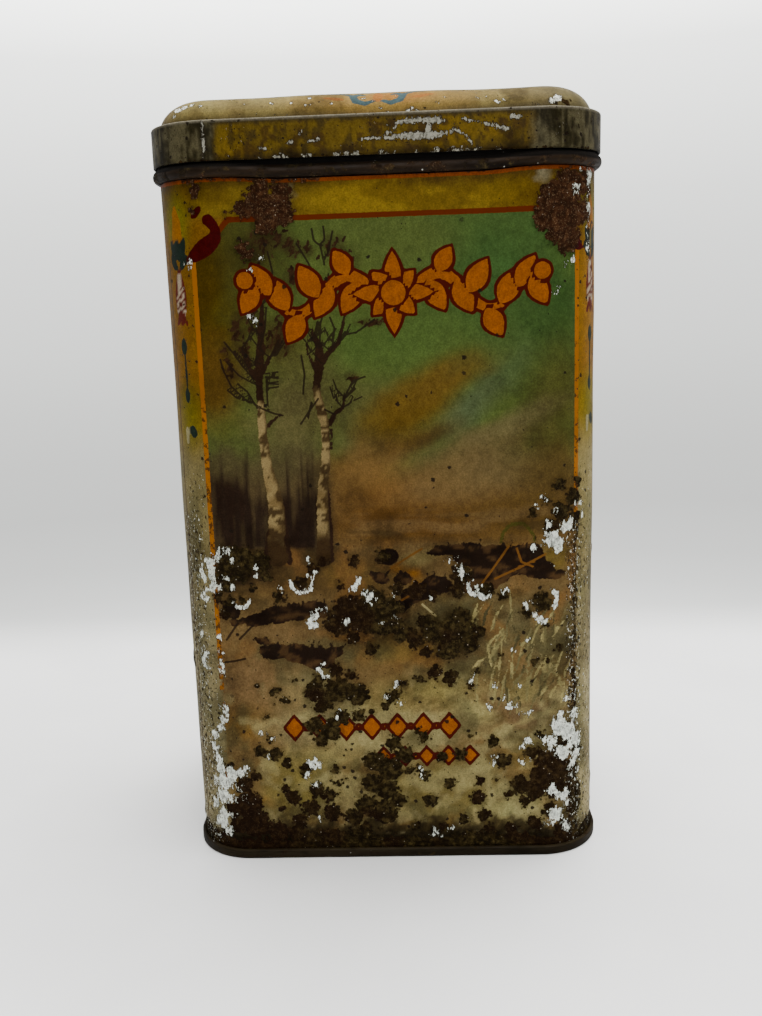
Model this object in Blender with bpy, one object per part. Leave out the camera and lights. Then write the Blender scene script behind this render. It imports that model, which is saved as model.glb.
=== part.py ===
"""Tall lithographed tin with rounded corners and a slip-over lid, built from five tinplate pieces.

Every piece is a folded sheet that runs round the same rounded rectangle. Its cross-section is a path of
(s, z) points along the middle of the sheet: s is the distance outwards from the outer face of the body
wall, and z is the height above the surface that the tin stands on. Lengths are in metres.
The origin is at the centre of the base, +Z is up, +X is to the right and the front faces -Y.
"""

import math

import bmesh
import bpy

# Driving dimensions.
BODY_WIDTH = 0.116
BODY_DEPTH = 0.080
CORNER_RADIUS = 0.016
SHEET = 0.0003
PLAY = 0.0001
REST_GAP = 0.0003
BODY_TOP = 0.1891
CORNER_STEPS = 8

# The folds: one layer to the next is a sheet and the play between them.
LAYER = SHEET + PLAY
WALL = -SHEET / 2
FOLD_RADIUS = 0.00035
FOLD_STEPS = 3
TURN_STEPS = 6

# Bottom: the pan hooks round the body's turned-up edge in a five-layer seam.
SEAM_TOP = 0.00275
SEAM_HOOK_GAP = 0.00035
PAN_HEIGHT = 0.0034
PAN_FILLET = 0.0008
PAN_STEP_INSET = 0.009
PAN_STEP_RISE = 0.0006

# Neck ring: an insert inside the body, a half-round stop bead and the neck that the lid slips over.
INSERT_BOTTOM = 0.178
BEAD_HEIGHT = 0.191
BEAD_RADIUS = 0.00175
BEAD_CENTRE = 0.0001
BEAD_STEPS = 12
NECK = 0.00035
NECK_TOP = 0.2011

# Lid: a band with a hem below and a rolled ridge above, and a raised panel hooked into the ridge.
BAND = 0.00135
BAND_BOTTOM = BEAD_HEIGHT + BEAD_RADIUS + REST_GAP
RIDGE_TOP = 0.203
HEM_HEIGHT = 0.003
LIP_DEPTH = 0.0011
LEDGE_HEIGHT = 0.20155
DOME_FOOT = -0.0009
DOME_SHOULDER = 0.0095
DOME_RISE = 0.0083
DOME_STEPS = 10

# Lock seam down the middle of the back: three layers inside the wall and a fine groove outside.
LOCK_WIDTH = 0.006
LOCK_LAYERS = 3
LOCK_BOTTOM = 0.0055
LOCK_TOP = 0.176
GROOVE_WIDTH = 0.0003
GROOVE_DEPTH = SHEET / 2

SMOOTH_ANGLE = math.radians(35)


def clear_scene():
    for obj in list(bpy.data.objects):
        bpy.data.objects.remove(obj, do_unlink=True)


def material(name, colour, roughness, metallic):
    made = bpy.data.materials.new(name)
    made.use_nodes = True
    shader = made.node_tree.nodes["Principled BSDF"]
    shader.inputs["Base Color"].default_value = (*colour, 1.0)
    shader.inputs["Roughness"].default_value = roughness
    shader.inputs["Metallic"].default_value = metallic
    return made


def arc(centre, radius, start, end, steps):
    """Points on an arc of the section plane, from one angle to the other in degrees, 0 being outwards."""
    points = []
    for step in range(steps + 1):
        angle = math.radians(start + (end - start) * step / steps)
        points.append((centre[0] + radius * math.cos(angle), centre[1] + radius * math.sin(angle)))
    return points


def sheet_outline(path):
    """The closed outline of a sheet that follows the path: its left side forwards, then its right side back."""
    sides = ([], [])
    for i, (s, z) in enumerate(path):
        before = path[max(i - 1, 0)]
        after = path[min(i + 1, len(path) - 1)]
        ends = [(before, (s, z)), ((s, z), after)]
        normals = []
        for (s0, z0), (s1, z1) in ends:
            length = math.hypot(s1 - s0, z1 - z0)
            if length > 0:
                normals.append((-(z1 - z0) / length, (s1 - s0) / length))
        first, last = normals[0], normals[-1]
        across = (first[0] + last[0], first[1] + last[1])
        size = math.hypot(*across)
        across = (across[0] / size, across[1] / size)
        reach = SHEET / 2 / (across[0] * first[0] + across[1] * first[1])
        for side, sign in zip(sides, (1, -1)):
            side.append((s + sign * reach * across[0], z + sign * reach * across[1]))
    return sides[0], sides[1][::-1]


def corner_loop(s, z):
    """The rounded rectangle that lies s outside the wall's outer face, anticlockwise seen from above."""
    radius = CORNER_RADIUS + s
    across = BODY_WIDTH / 2 - CORNER_RADIUS
    deep = BODY_DEPTH / 2 - CORNER_RADIUS
    points = []
    for quarter, (side_x, side_y) in enumerate(((1, 1), (-1, 1), (-1, -1), (1, -1))):
        for step in range(CORNER_STEPS + 1):
            angle = math.radians(90 * (quarter + step / CORNER_STEPS))
            x = side_x * across + radius * math.cos(angle)
            y = side_y * deep + radius * math.sin(angle)
            points.append((x, y, z))
    return points


def sheet_mesh(name, path, capped):
    """Sweeps the sheet round the tin. A capped sheet also spans the middle, from its path's last point."""
    left, right = sheet_outline(path)
    mesh = bmesh.new()
    rings = [[mesh.verts.new(point) for point in corner_loop(s, z)] for s, z in left + right]
    pairs = list(zip(rings, rings[1:] + rings[:1]))
    if capped:
        inner = len(left) - 1
        del pairs[inner]
        mesh.faces.new(rings[inner])
        mesh.faces.new(rings[inner + 1])
    for ring, following in pairs:
        for i in range(len(ring)):
            j = (i + 1) % len(ring)
            mesh.faces.new((ring[i], ring[j], following[j], following[i]))
    bmesh.ops.recalc_face_normals(mesh, faces=mesh.faces)
    data = bpy.data.meshes.new(name)
    mesh.to_mesh(data)
    mesh.free()
    data.shade_smooth()
    data.set_sharp_from_angle(angle=SMOOTH_ANGLE)
    return data


def add_piece(name, path, look, parent=None, capped=False):
    piece = bpy.data.objects.new(name, sheet_mesh(name, path, capped))
    piece.data.materials.append(look)
    piece.parent = parent
    bpy.context.scene.collection.objects.link(piece)
    return piece


def box(name, low, high):
    mesh = bmesh.new()
    bmesh.ops.create_cube(mesh, size=1.0)
    for vert in mesh.verts:
        vert.co = [low[k] + (vert.co[k] + 0.5) * (high[k] - low[k]) for k in range(3)]
    data = bpy.data.meshes.new(name)
    mesh.to_mesh(data)
    mesh.free()
    helper = bpy.data.objects.new(name, data)
    helper.hide_render = True
    helper.display_type = "WIRE"
    bpy.context.scene.collection.objects.link(helper)
    return helper


def boolean(piece, operation, other):
    modifier = piece.modifiers.new(other.name, "BOOLEAN")
    modifier.operation = operation
    modifier.solver = "EXACT"
    modifier.object = other


def body_path():
    """Up from the hook in the bottom seam, round its fold and up the wall to the edge under the bead."""
    hook = WALL + 2 * LAYER
    fold = SHEET / 2 + LAYER + FOLD_RADIUS
    hook_end = SEAM_TOP - LAYER - SHEET / 2
    return (
        [(hook, hook_end)]
        + arc((hook - FOLD_RADIUS, fold), FOLD_RADIUS, 0, -90, FOLD_STEPS)
        + arc((WALL + FOLD_RADIUS, fold), FOLD_RADIUS, -90, -180, FOLD_STEPS)
        + [(WALL, BODY_TOP)]
    )


def pan_path():
    """From the hook inside the seam, over the body's hook, under it and up inside the wall to the panel."""
    hook = WALL + LAYER
    outside = WALL + 3 * LAYER
    inside = WALL - LAYER
    hook_end = SHEET + LAYER + SEAM_HOOK_GAP
    turn = SEAM_TOP - SHEET / 2 - LAYER
    flat = SHEET / 2
    step = inside - PAN_STEP_INSET
    return (
        [(hook, hook_end)]
        + arc((hook + LAYER, turn), LAYER, 180, 0, TURN_STEPS)
        + arc((outside - FOLD_RADIUS, flat + FOLD_RADIUS), FOLD_RADIUS, 0, -90, FOLD_STEPS)
        + arc((inside + FOLD_RADIUS, flat + FOLD_RADIUS), FOLD_RADIUS, -90, -180, FOLD_STEPS)
        + arc((inside - PAN_FILLET, PAN_HEIGHT - PAN_FILLET), PAN_FILLET, 0, 90, FOLD_STEPS)
        + [(step, PAN_HEIGHT), (step - 2 * PAN_STEP_RISE, PAN_HEIGHT + PAN_STEP_RISE)]
    )


def neck_path():
    """Up the insert, out round the stop bead and up the neck."""
    insert = WALL - LAYER
    radius = BEAD_RADIUS - SHEET / 2
    start = -math.degrees(math.acos((insert - BEAD_CENTRE) / radius))
    end = math.degrees(math.acos((NECK - BEAD_CENTRE) / radius))
    return (
        [(insert, INSERT_BOTTOM)]
        + arc((BEAD_CENTRE, BEAD_HEIGHT), radius, start, end, BEAD_STEPS)
        + [(NECK, NECK_TOP)]
    )


def band_path():
    """Down the hem inside the band, round its foot, up the outside and over the ridge to the lip."""
    hem = BAND - LAYER
    foot = BAND_BOTTOM + SHEET / 2 + LAYER / 2
    turn = RIDGE_TOP - SHEET / 2 - LAYER
    return (
        [(hem, BAND_BOTTOM + HEM_HEIGHT)]
        + arc((BAND - LAYER / 2, foot), LAYER / 2, 180, 360, TURN_STEPS)
        + arc((BAND - LAYER, turn), LAYER, 0, 180, TURN_STEPS)
        + [(BAND - 2 * LAYER, RIDGE_TOP - LIP_DEPTH)]
    )


def panel_path():
    """Down from the ridge, in along the ledge and up the shoulder of the dome to its flat top."""
    flange = BAND - LAYER
    flange_top = RIDGE_TOP - SHEET / 2 - LAYER
    top_edge = DOME_FOOT - DOME_SHOULDER
    dome = []
    for step in range(DOME_STEPS + 1):
        angle = math.pi / 2 * step / DOME_STEPS
        dome.append((top_edge + DOME_SHOULDER * math.cos(angle), LEDGE_HEIGHT + DOME_RISE * math.sin(angle)))
    return (
        [(flange, flange_top)]
        + arc((flange - FOLD_RADIUS, LEDGE_HEIGHT + FOLD_RADIUS), FOLD_RADIUS, 0, -90, FOLD_STEPS)
        + dome
    )


def add_lock_seam(body):
    """Thickens the back wall on the inside and cuts the seam's groove on the outside."""
    back = BODY_DEPTH / 2
    inner_face = back - SHEET - LOCK_LAYERS * SHEET
    ridge = box(
        "lock_seam_layers",
        (-LOCK_WIDTH / 2, inner_face, LOCK_BOTTOM),
        (LOCK_WIDTH / 2, back - SHEET / 2, LOCK_TOP),
    )
    groove = box(
        "lock_seam_groove",
        (LOCK_WIDTH / 2, back - GROOVE_DEPTH, LOCK_BOTTOM),
        (LOCK_WIDTH / 2 + GROOVE_WIDTH, back + SHEET, BODY_TOP + SHEET),
    )
    boolean(body, "UNION", ridge)
    boolean(body, "DIFFERENCE", groove)


def main():
    clear_scene()
    printed = material("printed_tinplate", (0.36, 0.29, 0.12), 0.45, 0.3)
    printed_lid = material("printed_lid_tinplate", (0.47, 0.40, 0.24), 0.45, 0.3)
    gilt = material("gilt_tinplate", (0.30, 0.21, 0.05), 0.4, 0.5)
    bare = material("bare_tinplate", (0.32, 0.31, 0.28), 0.35, 0.9)

    body = add_piece("body_wall", body_path(), printed)
    add_lock_seam(body)
    add_piece("bottom_pan", pan_path(), bare, capped=True)
    add_piece("neck_ring", neck_path(), bare)

    lid = bpy.data.objects.new("lid", None)
    bpy.context.scene.collection.objects.link(lid)
    add_piece("lid_band", band_path(), gilt, parent=lid)
    add_piece("lid_panel", panel_path(), printed_lid, parent=lid, capped=True)


main()
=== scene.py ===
"""The looks of the lithographed tin: fine sheet-metal meshes, the printed picture, its wear, and the studio.

Lengths are in millimetres until a mesh is made. A point on the tin's wall is (u, z): u is the distance round
the wall from the middle of the front, growing to the right, and z is the height above the table. s is the
distance outwards from the wall's outer face.
"""

import math

import bpy
import numpy as np
from mathutils import Matrix, Vector


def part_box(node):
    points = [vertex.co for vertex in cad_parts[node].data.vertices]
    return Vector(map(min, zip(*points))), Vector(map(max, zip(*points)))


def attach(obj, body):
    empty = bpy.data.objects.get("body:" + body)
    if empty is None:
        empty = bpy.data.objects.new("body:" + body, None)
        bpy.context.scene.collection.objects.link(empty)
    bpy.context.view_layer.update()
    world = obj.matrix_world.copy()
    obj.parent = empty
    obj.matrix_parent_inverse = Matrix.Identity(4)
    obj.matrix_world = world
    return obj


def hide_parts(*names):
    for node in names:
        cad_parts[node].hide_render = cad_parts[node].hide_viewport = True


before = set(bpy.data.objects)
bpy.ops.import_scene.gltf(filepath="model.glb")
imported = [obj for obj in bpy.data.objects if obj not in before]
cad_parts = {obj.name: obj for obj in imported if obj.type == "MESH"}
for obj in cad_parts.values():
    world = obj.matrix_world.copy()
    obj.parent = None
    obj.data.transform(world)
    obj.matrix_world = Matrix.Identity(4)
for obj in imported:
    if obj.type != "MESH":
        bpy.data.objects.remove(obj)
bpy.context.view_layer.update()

MM = 0.001

# The tin's sizes, from the frame and the sheet's thickness.
SHEET = 0.3
BEAD_RADIUS = 1.75
BEAD_CENTRE_S = 0.1
RADIUS = 16.0
neck_low, neck_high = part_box("neck_ring")
wall_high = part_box("body_wall")[1]
band_low, band_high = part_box("lid_band")
panel_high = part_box("lid_panel")[1]
HALF_WIDTH = neck_high[0] / MM - BEAD_RADIUS - BEAD_CENTRE_S
HALF_DEPTH = neck_high[1] / MM - BEAD_RADIUS - BEAD_CENTRE_S
WALL_TOP = wall_high[2] / MM
NECK_TOP = neck_high[2] / MM
INSERT_BOTTOM = neck_low[2] / MM
BAND_BOTTOM = band_low[2] / MM
RIDGE_TOP = band_high[2] / MM
TIN_TOP = panel_high[2] / MM
BEAD_HEIGHT = 191.0

# The folds: one layer to the next is a sheet and the play between them.
LAYER = SHEET + 0.1
NECK_S = 0.35
BAND_S = 1.35
HEM_HEIGHT = 3.0
RIDGE_LIP = 1.1
LEDGE_HEIGHT = 201.55
LOCK_HALF = 3.0
LOCK_BOTTOM = 5.5
LOCK_TOP = 176.0

# Lengths round the wall: half the flat front, one corner, one flat side, half the way round, and the distance
# from the middle of the front to the middle of a rear corner.
FRONT = HALF_WIDTH - RADIUS
CORNER = RADIUS * math.pi / 2
SIDE = 2 * (HALF_DEPTH - RADIUS)
HALF_ROUND = 2 * FRONT + 2 * CORNER + SIDE
REAR = FRONT + 1.5 * CORNER + SIDE

SEED = 1907

# A distance in mm that is further than any mark reaches.
FAR = 50.0


# ---------------------------------------------------------------- shapes in the plane of the sheet


def smooth(low, high, x):
    """0 to 1 as x goes smoothly from low to high, which may be the larger."""
    t = np.clip((x - low) / (high - low), 0, 1)
    return t * t * (3 - 2 * t)


def value_noise(u, z, size, seed):
    """Smooth noise from 0 to 1 whose features are about size across."""
    cells = 256
    table = np.random.default_rng(SEED + seed).random((cells, cells))
    a, b = u / size, z / size
    left, below = np.floor(a).astype(int), np.floor(b).astype(int)
    fa, fb = smooth(0, 1, a - left), smooth(0, 1, b - below)
    left, below = left % cells, below % cells
    right, above = (left + 1) % cells, (below + 1) % cells
    low = table[left, below] * (1 - fa) + table[right, below] * fa
    high = table[left, above] * (1 - fa) + table[right, above] * fa
    return low * (1 - fb) + high * fb


def fractal(u, z, size, seed, octaves=4):
    """Noise from 0 to 1 of features about size across, each octave half as large and half as strong."""
    total, weight, amount = 0.0, 1.0, 0.0
    for octave in range(octaves):
        total = total + weight * value_noise(u, z, size, seed + 31 * octave)
        amount += weight
        weight *= 0.5
        size *= 0.5
    return total / amount


def stroke(u, z, points):
    """Signed distance to a stroke through points (u, z, half width): below 0 is inside it."""
    best = np.full(u.shape, 1e3)
    for (u0, z0, r0), (u1, z1, r1) in zip(points, points[1:]):
        du, dz = u1 - u0, z1 - z0
        t = np.clip(((u - u0) * du + (z - z0) * dz) / max(du * du + dz * dz, 1e-9), 0, 1)
        gap = np.hypot(u - u0 - t * du, z - z0 - t * dz) - (r0 + t * (r1 - r0))
        best = np.minimum(best, gap)
    return best


def blot(u, z, centre_u, centre_z, half_u, half_z, turn=0.0):
    """Rough signed distance to an ellipse turned by that many degrees."""
    c, s = math.cos(math.radians(turn)), math.sin(math.radians(turn))
    a = ((u - centre_u) * c + (z - centre_z) * s) / half_u
    b = (-(u - centre_u) * s + (z - centre_z) * c) / half_z
    return (np.hypot(a, b) - 1) * min(half_u, half_z)


def leaf(u, z, base, tip, half_width):
    """Signed distance to a pointed leaf from base to tip, widest a little before its middle."""
    du, dz = tip[0] - base[0], tip[1] - base[1]
    length = math.hypot(du, dz)
    along = ((u - base[0]) * du + (z - base[1]) * dz) / length
    off = np.abs((u - base[0]) * dz - (z - base[1]) * du) / length
    t = np.clip(along / length, 0, 1)
    width = half_width * np.sin(math.pi * t ** 0.82) ** 0.85
    past = np.maximum(np.maximum(-along, along - length), 0)
    return np.hypot(np.maximum(off - width, 0), past) + np.minimum(off - width, 0) * 0.9


def spots(u, z, places):
    """Depth inside the nearest of many round spots (u, z, radius): above 0 is inside one."""
    best = np.full(u.shape, -1e3)
    for spot_u, spot_z, radius in places:
        best = np.maximum(best, radius - np.hypot(u - spot_u, z - spot_z))
    return best


# ---------------------------------------------------------------- colours, as scene-linear reflectance

ORANGE = (0.255, 0.068, 0.003)
ORANGE_LINE = (0.250, 0.085, 0.006)
RED_LINE = (0.085, 0.013, 0.0006)
DARK_RED = (0.047, 0.0034, 0.0006)
DEEP_RED = (0.045, 0.0012, 0.0012)
LEAF_TEAL = (0.010, 0.019, 0.012)
BARK_CREAM = (0.240, 0.172, 0.068)
BARK_BROWN = (0.090, 0.048, 0.011)
BARK_DARK = (0.024, 0.011, 0.005)
LEAF_BROWN = (0.026, 0.012, 0.0045)
WOOD_DARK = (0.019, 0.0095, 0.005)
GRASS_CREAM = (0.240, 0.200, 0.075)
WHITE_PAINT = (0.36, 0.28, 0.19)
BARE_WHITE = (0.76, 0.80, 0.70)
LID_CREAM = (0.158, 0.124, 0.040)
BAND_GOLD = (0.115, 0.073, 0.006)

# The big soft areas of the picture: colour, centre (u, z), half size, strength, turn in degrees.
SKY_WASHES = (
    ((0.040, 0.085, 0.019), (34, 165), (24, 20), 1.0, 0),
    ((0.030, 0.062, 0.014), (44, 152), (12, 16), 0.7, 0),
    ((0.072, 0.095, 0.020), (2, 172), (20, 9), 0.9, 0),
    ((0.060, 0.100, 0.020), (6, 148), (20, 9), 0.8, 10),
    ((0.056, 0.032, 0.0006), (-46, 162), (13, 22), 1.0, 0),
    ((0.036, 0.031, 0.006), (-32, 168), (10, 13), 0.8, 0),
    ((0.092, 0.046, 0.006), (-45, 138), (9, 12), 0.9, 0),
    ((0.070, 0.058, 0.012), (-26, 146), (10, 10), 0.6, 0),
    ((0.096, 0.080, 0.027), (-22, 130), (13, 12), 0.9, 0),
    ((0.080, 0.078, 0.022), (-4, 128), (14, 9), 0.8, 0),
    ((0.105, 0.088, 0.032), (-2, 119), (14, 4.5), 0.6, 0),
    ((0.075, 0.100, 0.040), (24, 130), (15, 4.6), 0.95, 42),
    ((0.068, 0.040, 0.009), (10, 120.5), (11, 3.4), 0.95, 24),
    ((0.060, 0.092, 0.026), (33, 142), (7, 7), 0.7, 50),
    ((0.104, 0.058, 0.006), (8, 129), (15, 6.5), 0.95, 28),
    ((0.112, 0.066, 0.010), (17, 137), (13, 5.0), 0.95, 24),
    ((0.090, 0.070, 0.014), (22, 140.6), (6, 2.4), 0.6, 30),
    ((0.062, 0.058, 0.012), (47, 132), (8, 13), 0.8, 0),
    ((0.104, 0.076, 0.026), (24, 118), (20, 4.2), 0.9, 16),
    ((0.050, 0.084, 0.018), (31, 147), (6, 5), 0.7, 40),
    ((0.126, 0.100, 0.038), (36, 125), (12, 3.0), 0.75, 22),
    ((0.150, 0.082, 0.022), (-6, 112), (13, 7), 0.95, 6),
    ((0.150, 0.072, 0.016), (3, 105), (12, 6), 0.9, 0),
    ((0.130, 0.080, 0.026), (18, 109), (16, 6), 0.9, 8),
    ((0.118, 0.082, 0.030), (34, 113), (14, 6), 0.8, 6),
    ((0.074, 0.046, 0.011), (46, 112), (10, 13), 0.9, 0),
    ((0.084, 0.036, 0.005), (10, 98), (32, 4.6), 0.9, 0),
    ((0.084, 0.048, 0.010), (38, 99), (18, 6), 0.7, 0),
)
GROUND_WASHES = (
    ((0.070, 0.040, 0.011), (-18, 84), (28, 6), 0.9, 0),
    ((0.034, 0.019, 0.006), (-26, 90), (20, 4.2), 0.95, 0),
    ((0.020, 0.010, 0.004), (-42, 86), (9, 8), 1.0, 0),
    ((0.046, 0.032, 0.010), (-26, 93), (9, 3), 0.7, 0),
    ((0.120, 0.070, 0.020), (-33, 79.6), (9, 2.8), 0.9, 0),
    ((0.100, 0.058, 0.012), (-10, 84), (9, 5), 0.7, 0),
    ((0.140, 0.086, 0.030), (-28, 67.5), (17, 3.0), 1.0, 4),
    ((0.138, 0.082, 0.030), (-40, 54), (14, 9), 1.0, 0),
    ((0.165, 0.120, 0.045), (-26, 50), (8, 6), 0.9, 0),
    ((0.128, 0.066, 0.011), (-42, 40), (9, 6), 0.9, 0),
    ((0.205, 0.168, 0.072), (-18, 40), (17, 6), 0.95, 0),
    ((0.200, 0.160, 0.062), (4, 39), (18, 7), 0.95, 0),
    ((0.190, 0.150, 0.052), (-20, 31), (14, 4), 0.9, 8),
    ((0.165, 0.128, 0.030), (-27, 22), (14, 9), 0.95, 0),
    ((0.150, 0.092, 0.020), (5, 61), (11, 5), 0.95, 0),
    ((0.070, 0.060, 0.018), (-6, 61), (7, 4), 0.8, 0),
    ((0.190, 0.150, 0.044), (10, 50), (16, 5.5), 0.95, 6),
    ((0.115, 0.088, 0.034), (35, 63), (17, 15), 1.0, 0),
    ((0.100, 0.062, 0.026), (38, 43), (12, 7), 0.95, 0),
    ((0.070, 0.066, 0.026), (20, 72), (12, 7), 0.7, 0),
    ((0.245, 0.205, 0.075), (24, 44), (7, 2.8), 0.95, -36),
    ((0.135, 0.104, 0.028), (14, 20), (24, 10), 0.95, 0),
    ((0.165, 0.135, 0.040), (12, 24), (12, 3), 0.6, 16),
    ((0.230, 0.210, 0.080), (34, 14), (9, 5.5), 0.95, 14),
    ((0.150, 0.090, 0.016), (18, 9), (14, 3), 0.7, 0),
    ((0.130, 0.085, 0.020), (38, 30), (6, 5), 0.8, 0),
    ((0.100, 0.080, 0.022), (24, 27), (6, 4), 0.8, 0),
    ((0.190, 0.152, 0.050), (36, 49), (6, 4), 0.8, 0),
    ((0.230, 0.100, 0.008), (-36, 17), (2.6, 1.6), 0.45, -30),
    ((0.230, 0.075, 0.003), (-28, 7), (3.2, 1.0), 0.8, 0),
    ((0.230, 0.075, 0.003), (-19, 8), (3.0, 0.9), 0.8, 0),
    ((0.210, 0.070, 0.004), (-13, 66), (5.0, 1.3), 0.8, -12),
    ((0.190, 0.072, 0.004), (6, 84), (5.5, 2.6), 0.9, -18),
    ((0.230, 0.090, 0.004), (33.5, 91), (2.2, 2.6), 0.8, 0),
    ((0.190, 0.150, 0.050), (9, 88), (5.5, 2.4), 0.8, 12),
    ((0.120, 0.080, 0.012), (46, 87), (4, 4), 0.8, 0),
)


class Canvas:
    """Soft paint over a set of points, laid on wash by wash."""

    def __init__(self, u, z, ground):
        self.u, self.z = u, z
        self.rgb = np.tile(np.array(ground, float), (len(u), 1))

    def wash(self, colour, mask):
        """Lays the colour on as densely as mask says, from 0 to 1."""
        m = np.clip(mask, 0, 1)[:, None]
        self.rgb = self.rgb * (1 - m) + np.array(colour) * m

    def glow(self, colour, centre, half, strength=1.0, turn=0.0, wobble=0.0):
        """A soft-edged elliptical patch."""
        inside = blot(self.u, self.z, *centre, *half, turn) / min(half)
        self.wash(colour, strength * smooth(0.55, -0.75, inside + wobble))


class Ink:
    """Crisp shapes over a set of points: a signed distance, and the colour of the nearest shape."""

    def __init__(self, u, z):
        self.u, self.z = u, z
        self.distance = np.full(u.shape, 1e2)
        self.rgba = np.zeros((len(u), 4))

    def add(self, distance, colour, outlined=0.0):
        """Adds a shape over the ones before. With outlined at 1 it gets a dark outline."""
        nearer = (distance < 0) | (distance < self.distance)
        colour = np.broadcast_to(np.array(colour, float), (len(self.u), 3))
        self.rgba[nearer, :3] = colour[nearer]
        self.rgba[nearer, 3] = outlined
        least = np.minimum(self.distance, distance)
        self.distance = np.where(distance < 0, distance, least) if outlined else least


class Lines:
    """Thin lines: the signed offset to the nearest one, in half widths, and the plain distance to it."""

    def __init__(self, u, z):
        self.u, self.z = u, z
        self.offset = np.full(u.shape, 9.0)
        self.distance = np.full(u.shape, 1e2)
        self.tone = np.zeros(u.shape)

    def add(self, points, half_width, tone=0.0):
        """Adds a line through the points. tone goes from 0, black, through 0.35, brown, to 0.9, cream."""
        for (u0, z0), (u1, z1) in zip(points, points[1:]):
            du, dz = u1 - u0, z1 - z0
            length = math.hypot(du, dz)
            along = ((self.u - u0) * du + (self.z - z0) * dz) / length
            off = ((self.u - u0) * dz - (self.z - z0) * du) / length
            past = np.maximum(np.maximum(-along, along - length), 0)
            gap = np.hypot(off, past)
            nearer = gap < self.distance
            self.distance = np.where(nearer, gap, self.distance)
            self.offset = np.where(nearer, off / half_width, self.offset)
            self.tone = np.where(nearer, tone, self.tone)


def opaque(rgb):
    """The same colours with an alpha of 1."""
    return np.column_stack([rgb, np.ones(len(rgb))])


# ---------------------------------------------------------------- the printed picture

# The front picture's frame and the middles of the ornament strips on both front corners.
PANEL_LEFT = -47.8
PANEL_RIGHT = 52.4
PANEL_TOP = 178.7
PANEL_BOTTOM = 7.0
CHAMFER = 10.0
STRIP_CENTRES = (-53.2, 58.6)


def panel_distance(u, z, left, right):
    """Signed distance to a picture's frame: a rectangle with its two upper corners cut off."""
    box = np.maximum(np.maximum(left - u, u - right), np.maximum(PANEL_BOTTOM - z, z - PANEL_TOP))
    half = math.sqrt(0.5)
    cut_left = (left + CHAMFER - u + z - PANEL_TOP) * half
    cut_right = (u - right + CHAMFER + z - PANEL_TOP) * half
    return np.maximum(box, np.maximum(cut_left, cut_right))


def paint_border(canvas):
    """The yellow border, greyer at the very top, fading to grey-cream downwards, with painted light on the
    right.
    """
    u, z = canvas.u, canvas.z
    low = fractal(u, z, 14, 5)
    canvas.wash((0.150, 0.092, 0.002), smooth(140, 130, z))
    canvas.wash((0.110, 0.078, 0.018), smooth(176, 185, z))
    canvas.wash((0.172, 0.136, 0.050), smooth(128, 112, z + 8 * (low - 0.5)))
    canvas.wash((0.225, 0.185, 0.085), smooth(98, 55, z + 10 * (low - 0.5)))
    runs = smooth(0.5, 0.72, fractal(u, z * 0.35, 5, 6))
    canvas.wash((0.090, 0.080, 0.030), 0.6 * runs * smooth(125, 100, z))
    soot_and_shade = z + 3 * (low - 0.5) + 6 * (fractal(u, z, 1.7, 7) - 0.5)
    canvas.wash((0.018, 0.011, 0.003), 0.92 * smooth(9.5, 7.5, soot_and_shade) * smooth(56, 50, np.abs(u)))
    # Painted light: the right front corner and the start of the right side are brightened, as if lit from the
    # right.
    canvas.rgb *= (1 + 0.35 * smooth(50, 57, u) * smooth(75, 68, u) * smooth(178, 160, z))[:, None]


def paint_land(canvas):
    """Sky, clouds and mist as soft washes, then the wood and the ground over them."""
    u, z = canvas.u, canvas.z
    canvas.wash((0.068, 0.092, 0.018), smooth(90, 91, z))
    canvas.wash((0.118, 0.066, 0.018), smooth(117, 106, z))
    warp = 0.9 * (fractal(u, z, 12, 11) - 0.5)
    for colour, centre, half, strength, turn in SKY_WASHES:
        canvas.glow(colour, centre, half, strength, turn, warp)
    mist = smooth(-15, -6, u)
    streaks = smooth(0.50, 0.72, fractal(u * 0.25, z * 1.5, 5, 12)) * smooth(106, 98, z)
    canvas.wash((0.140, 0.086, 0.030), 0.6 * streaks * mist)
    streaks = smooth(0.52, 0.70, fractal(u * 0.22, z * 1.9, 5, 13)) * smooth(103, 95, z)
    canvas.wash((0.055, 0.034, 0.009), 0.7 * streaks * mist)
    paint_far_wood(canvas)
    paint_ground(canvas)


def paint_far_wood(canvas):
    """The hazy dark wood behind the birches, with its trunks."""
    u, z = canvas.u, canvas.z
    left = smooth(-12.5, -17.5, u)
    haze = 119 + 8 * (fractal(u, z, 7, 21) - 0.5)
    canvas.wash((0.064, 0.046, 0.019), 0.85 * left * smooth(5, -5, z - haze))
    grain = fractal(u * 3.4, z * 0.4, 7, 22)
    level = np.zeros(u.shape)
    crown = 108 + 10 * (fractal(u, level, 4.5, 23) - 0.5) + 3 * smooth(-30, -45, u)
    wood = left * smooth(3.0, -3.0, z - crown)
    canvas.wash(WOOD_DARK, wood * (0.45 + 0.55 * smooth(0.35, 0.6, grain)))
    canvas.wash((0.058, 0.040, 0.016), 0.6 * wood * smooth(0.60, 0.72, fractal(u * 2.6, z * 0.25, 6, 24)))
    rng = np.random.default_rng(SEED + 2)
    for _ in range(26):
        place = rng.choice([rng.uniform(-47, -33), rng.uniform(-27, -18.5)])
        top = rng.uniform(106, 124)
        gap = stroke(u, z, [(place, 93, rng.uniform(0.3, 0.8)), (place + rng.uniform(-1, 1), top, 0.15)])
        canvas.wash((0.020, 0.011, 0.006), 0.75 * smooth(0.35, -0.35, gap) * smooth(top, top - 9, z))


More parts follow.
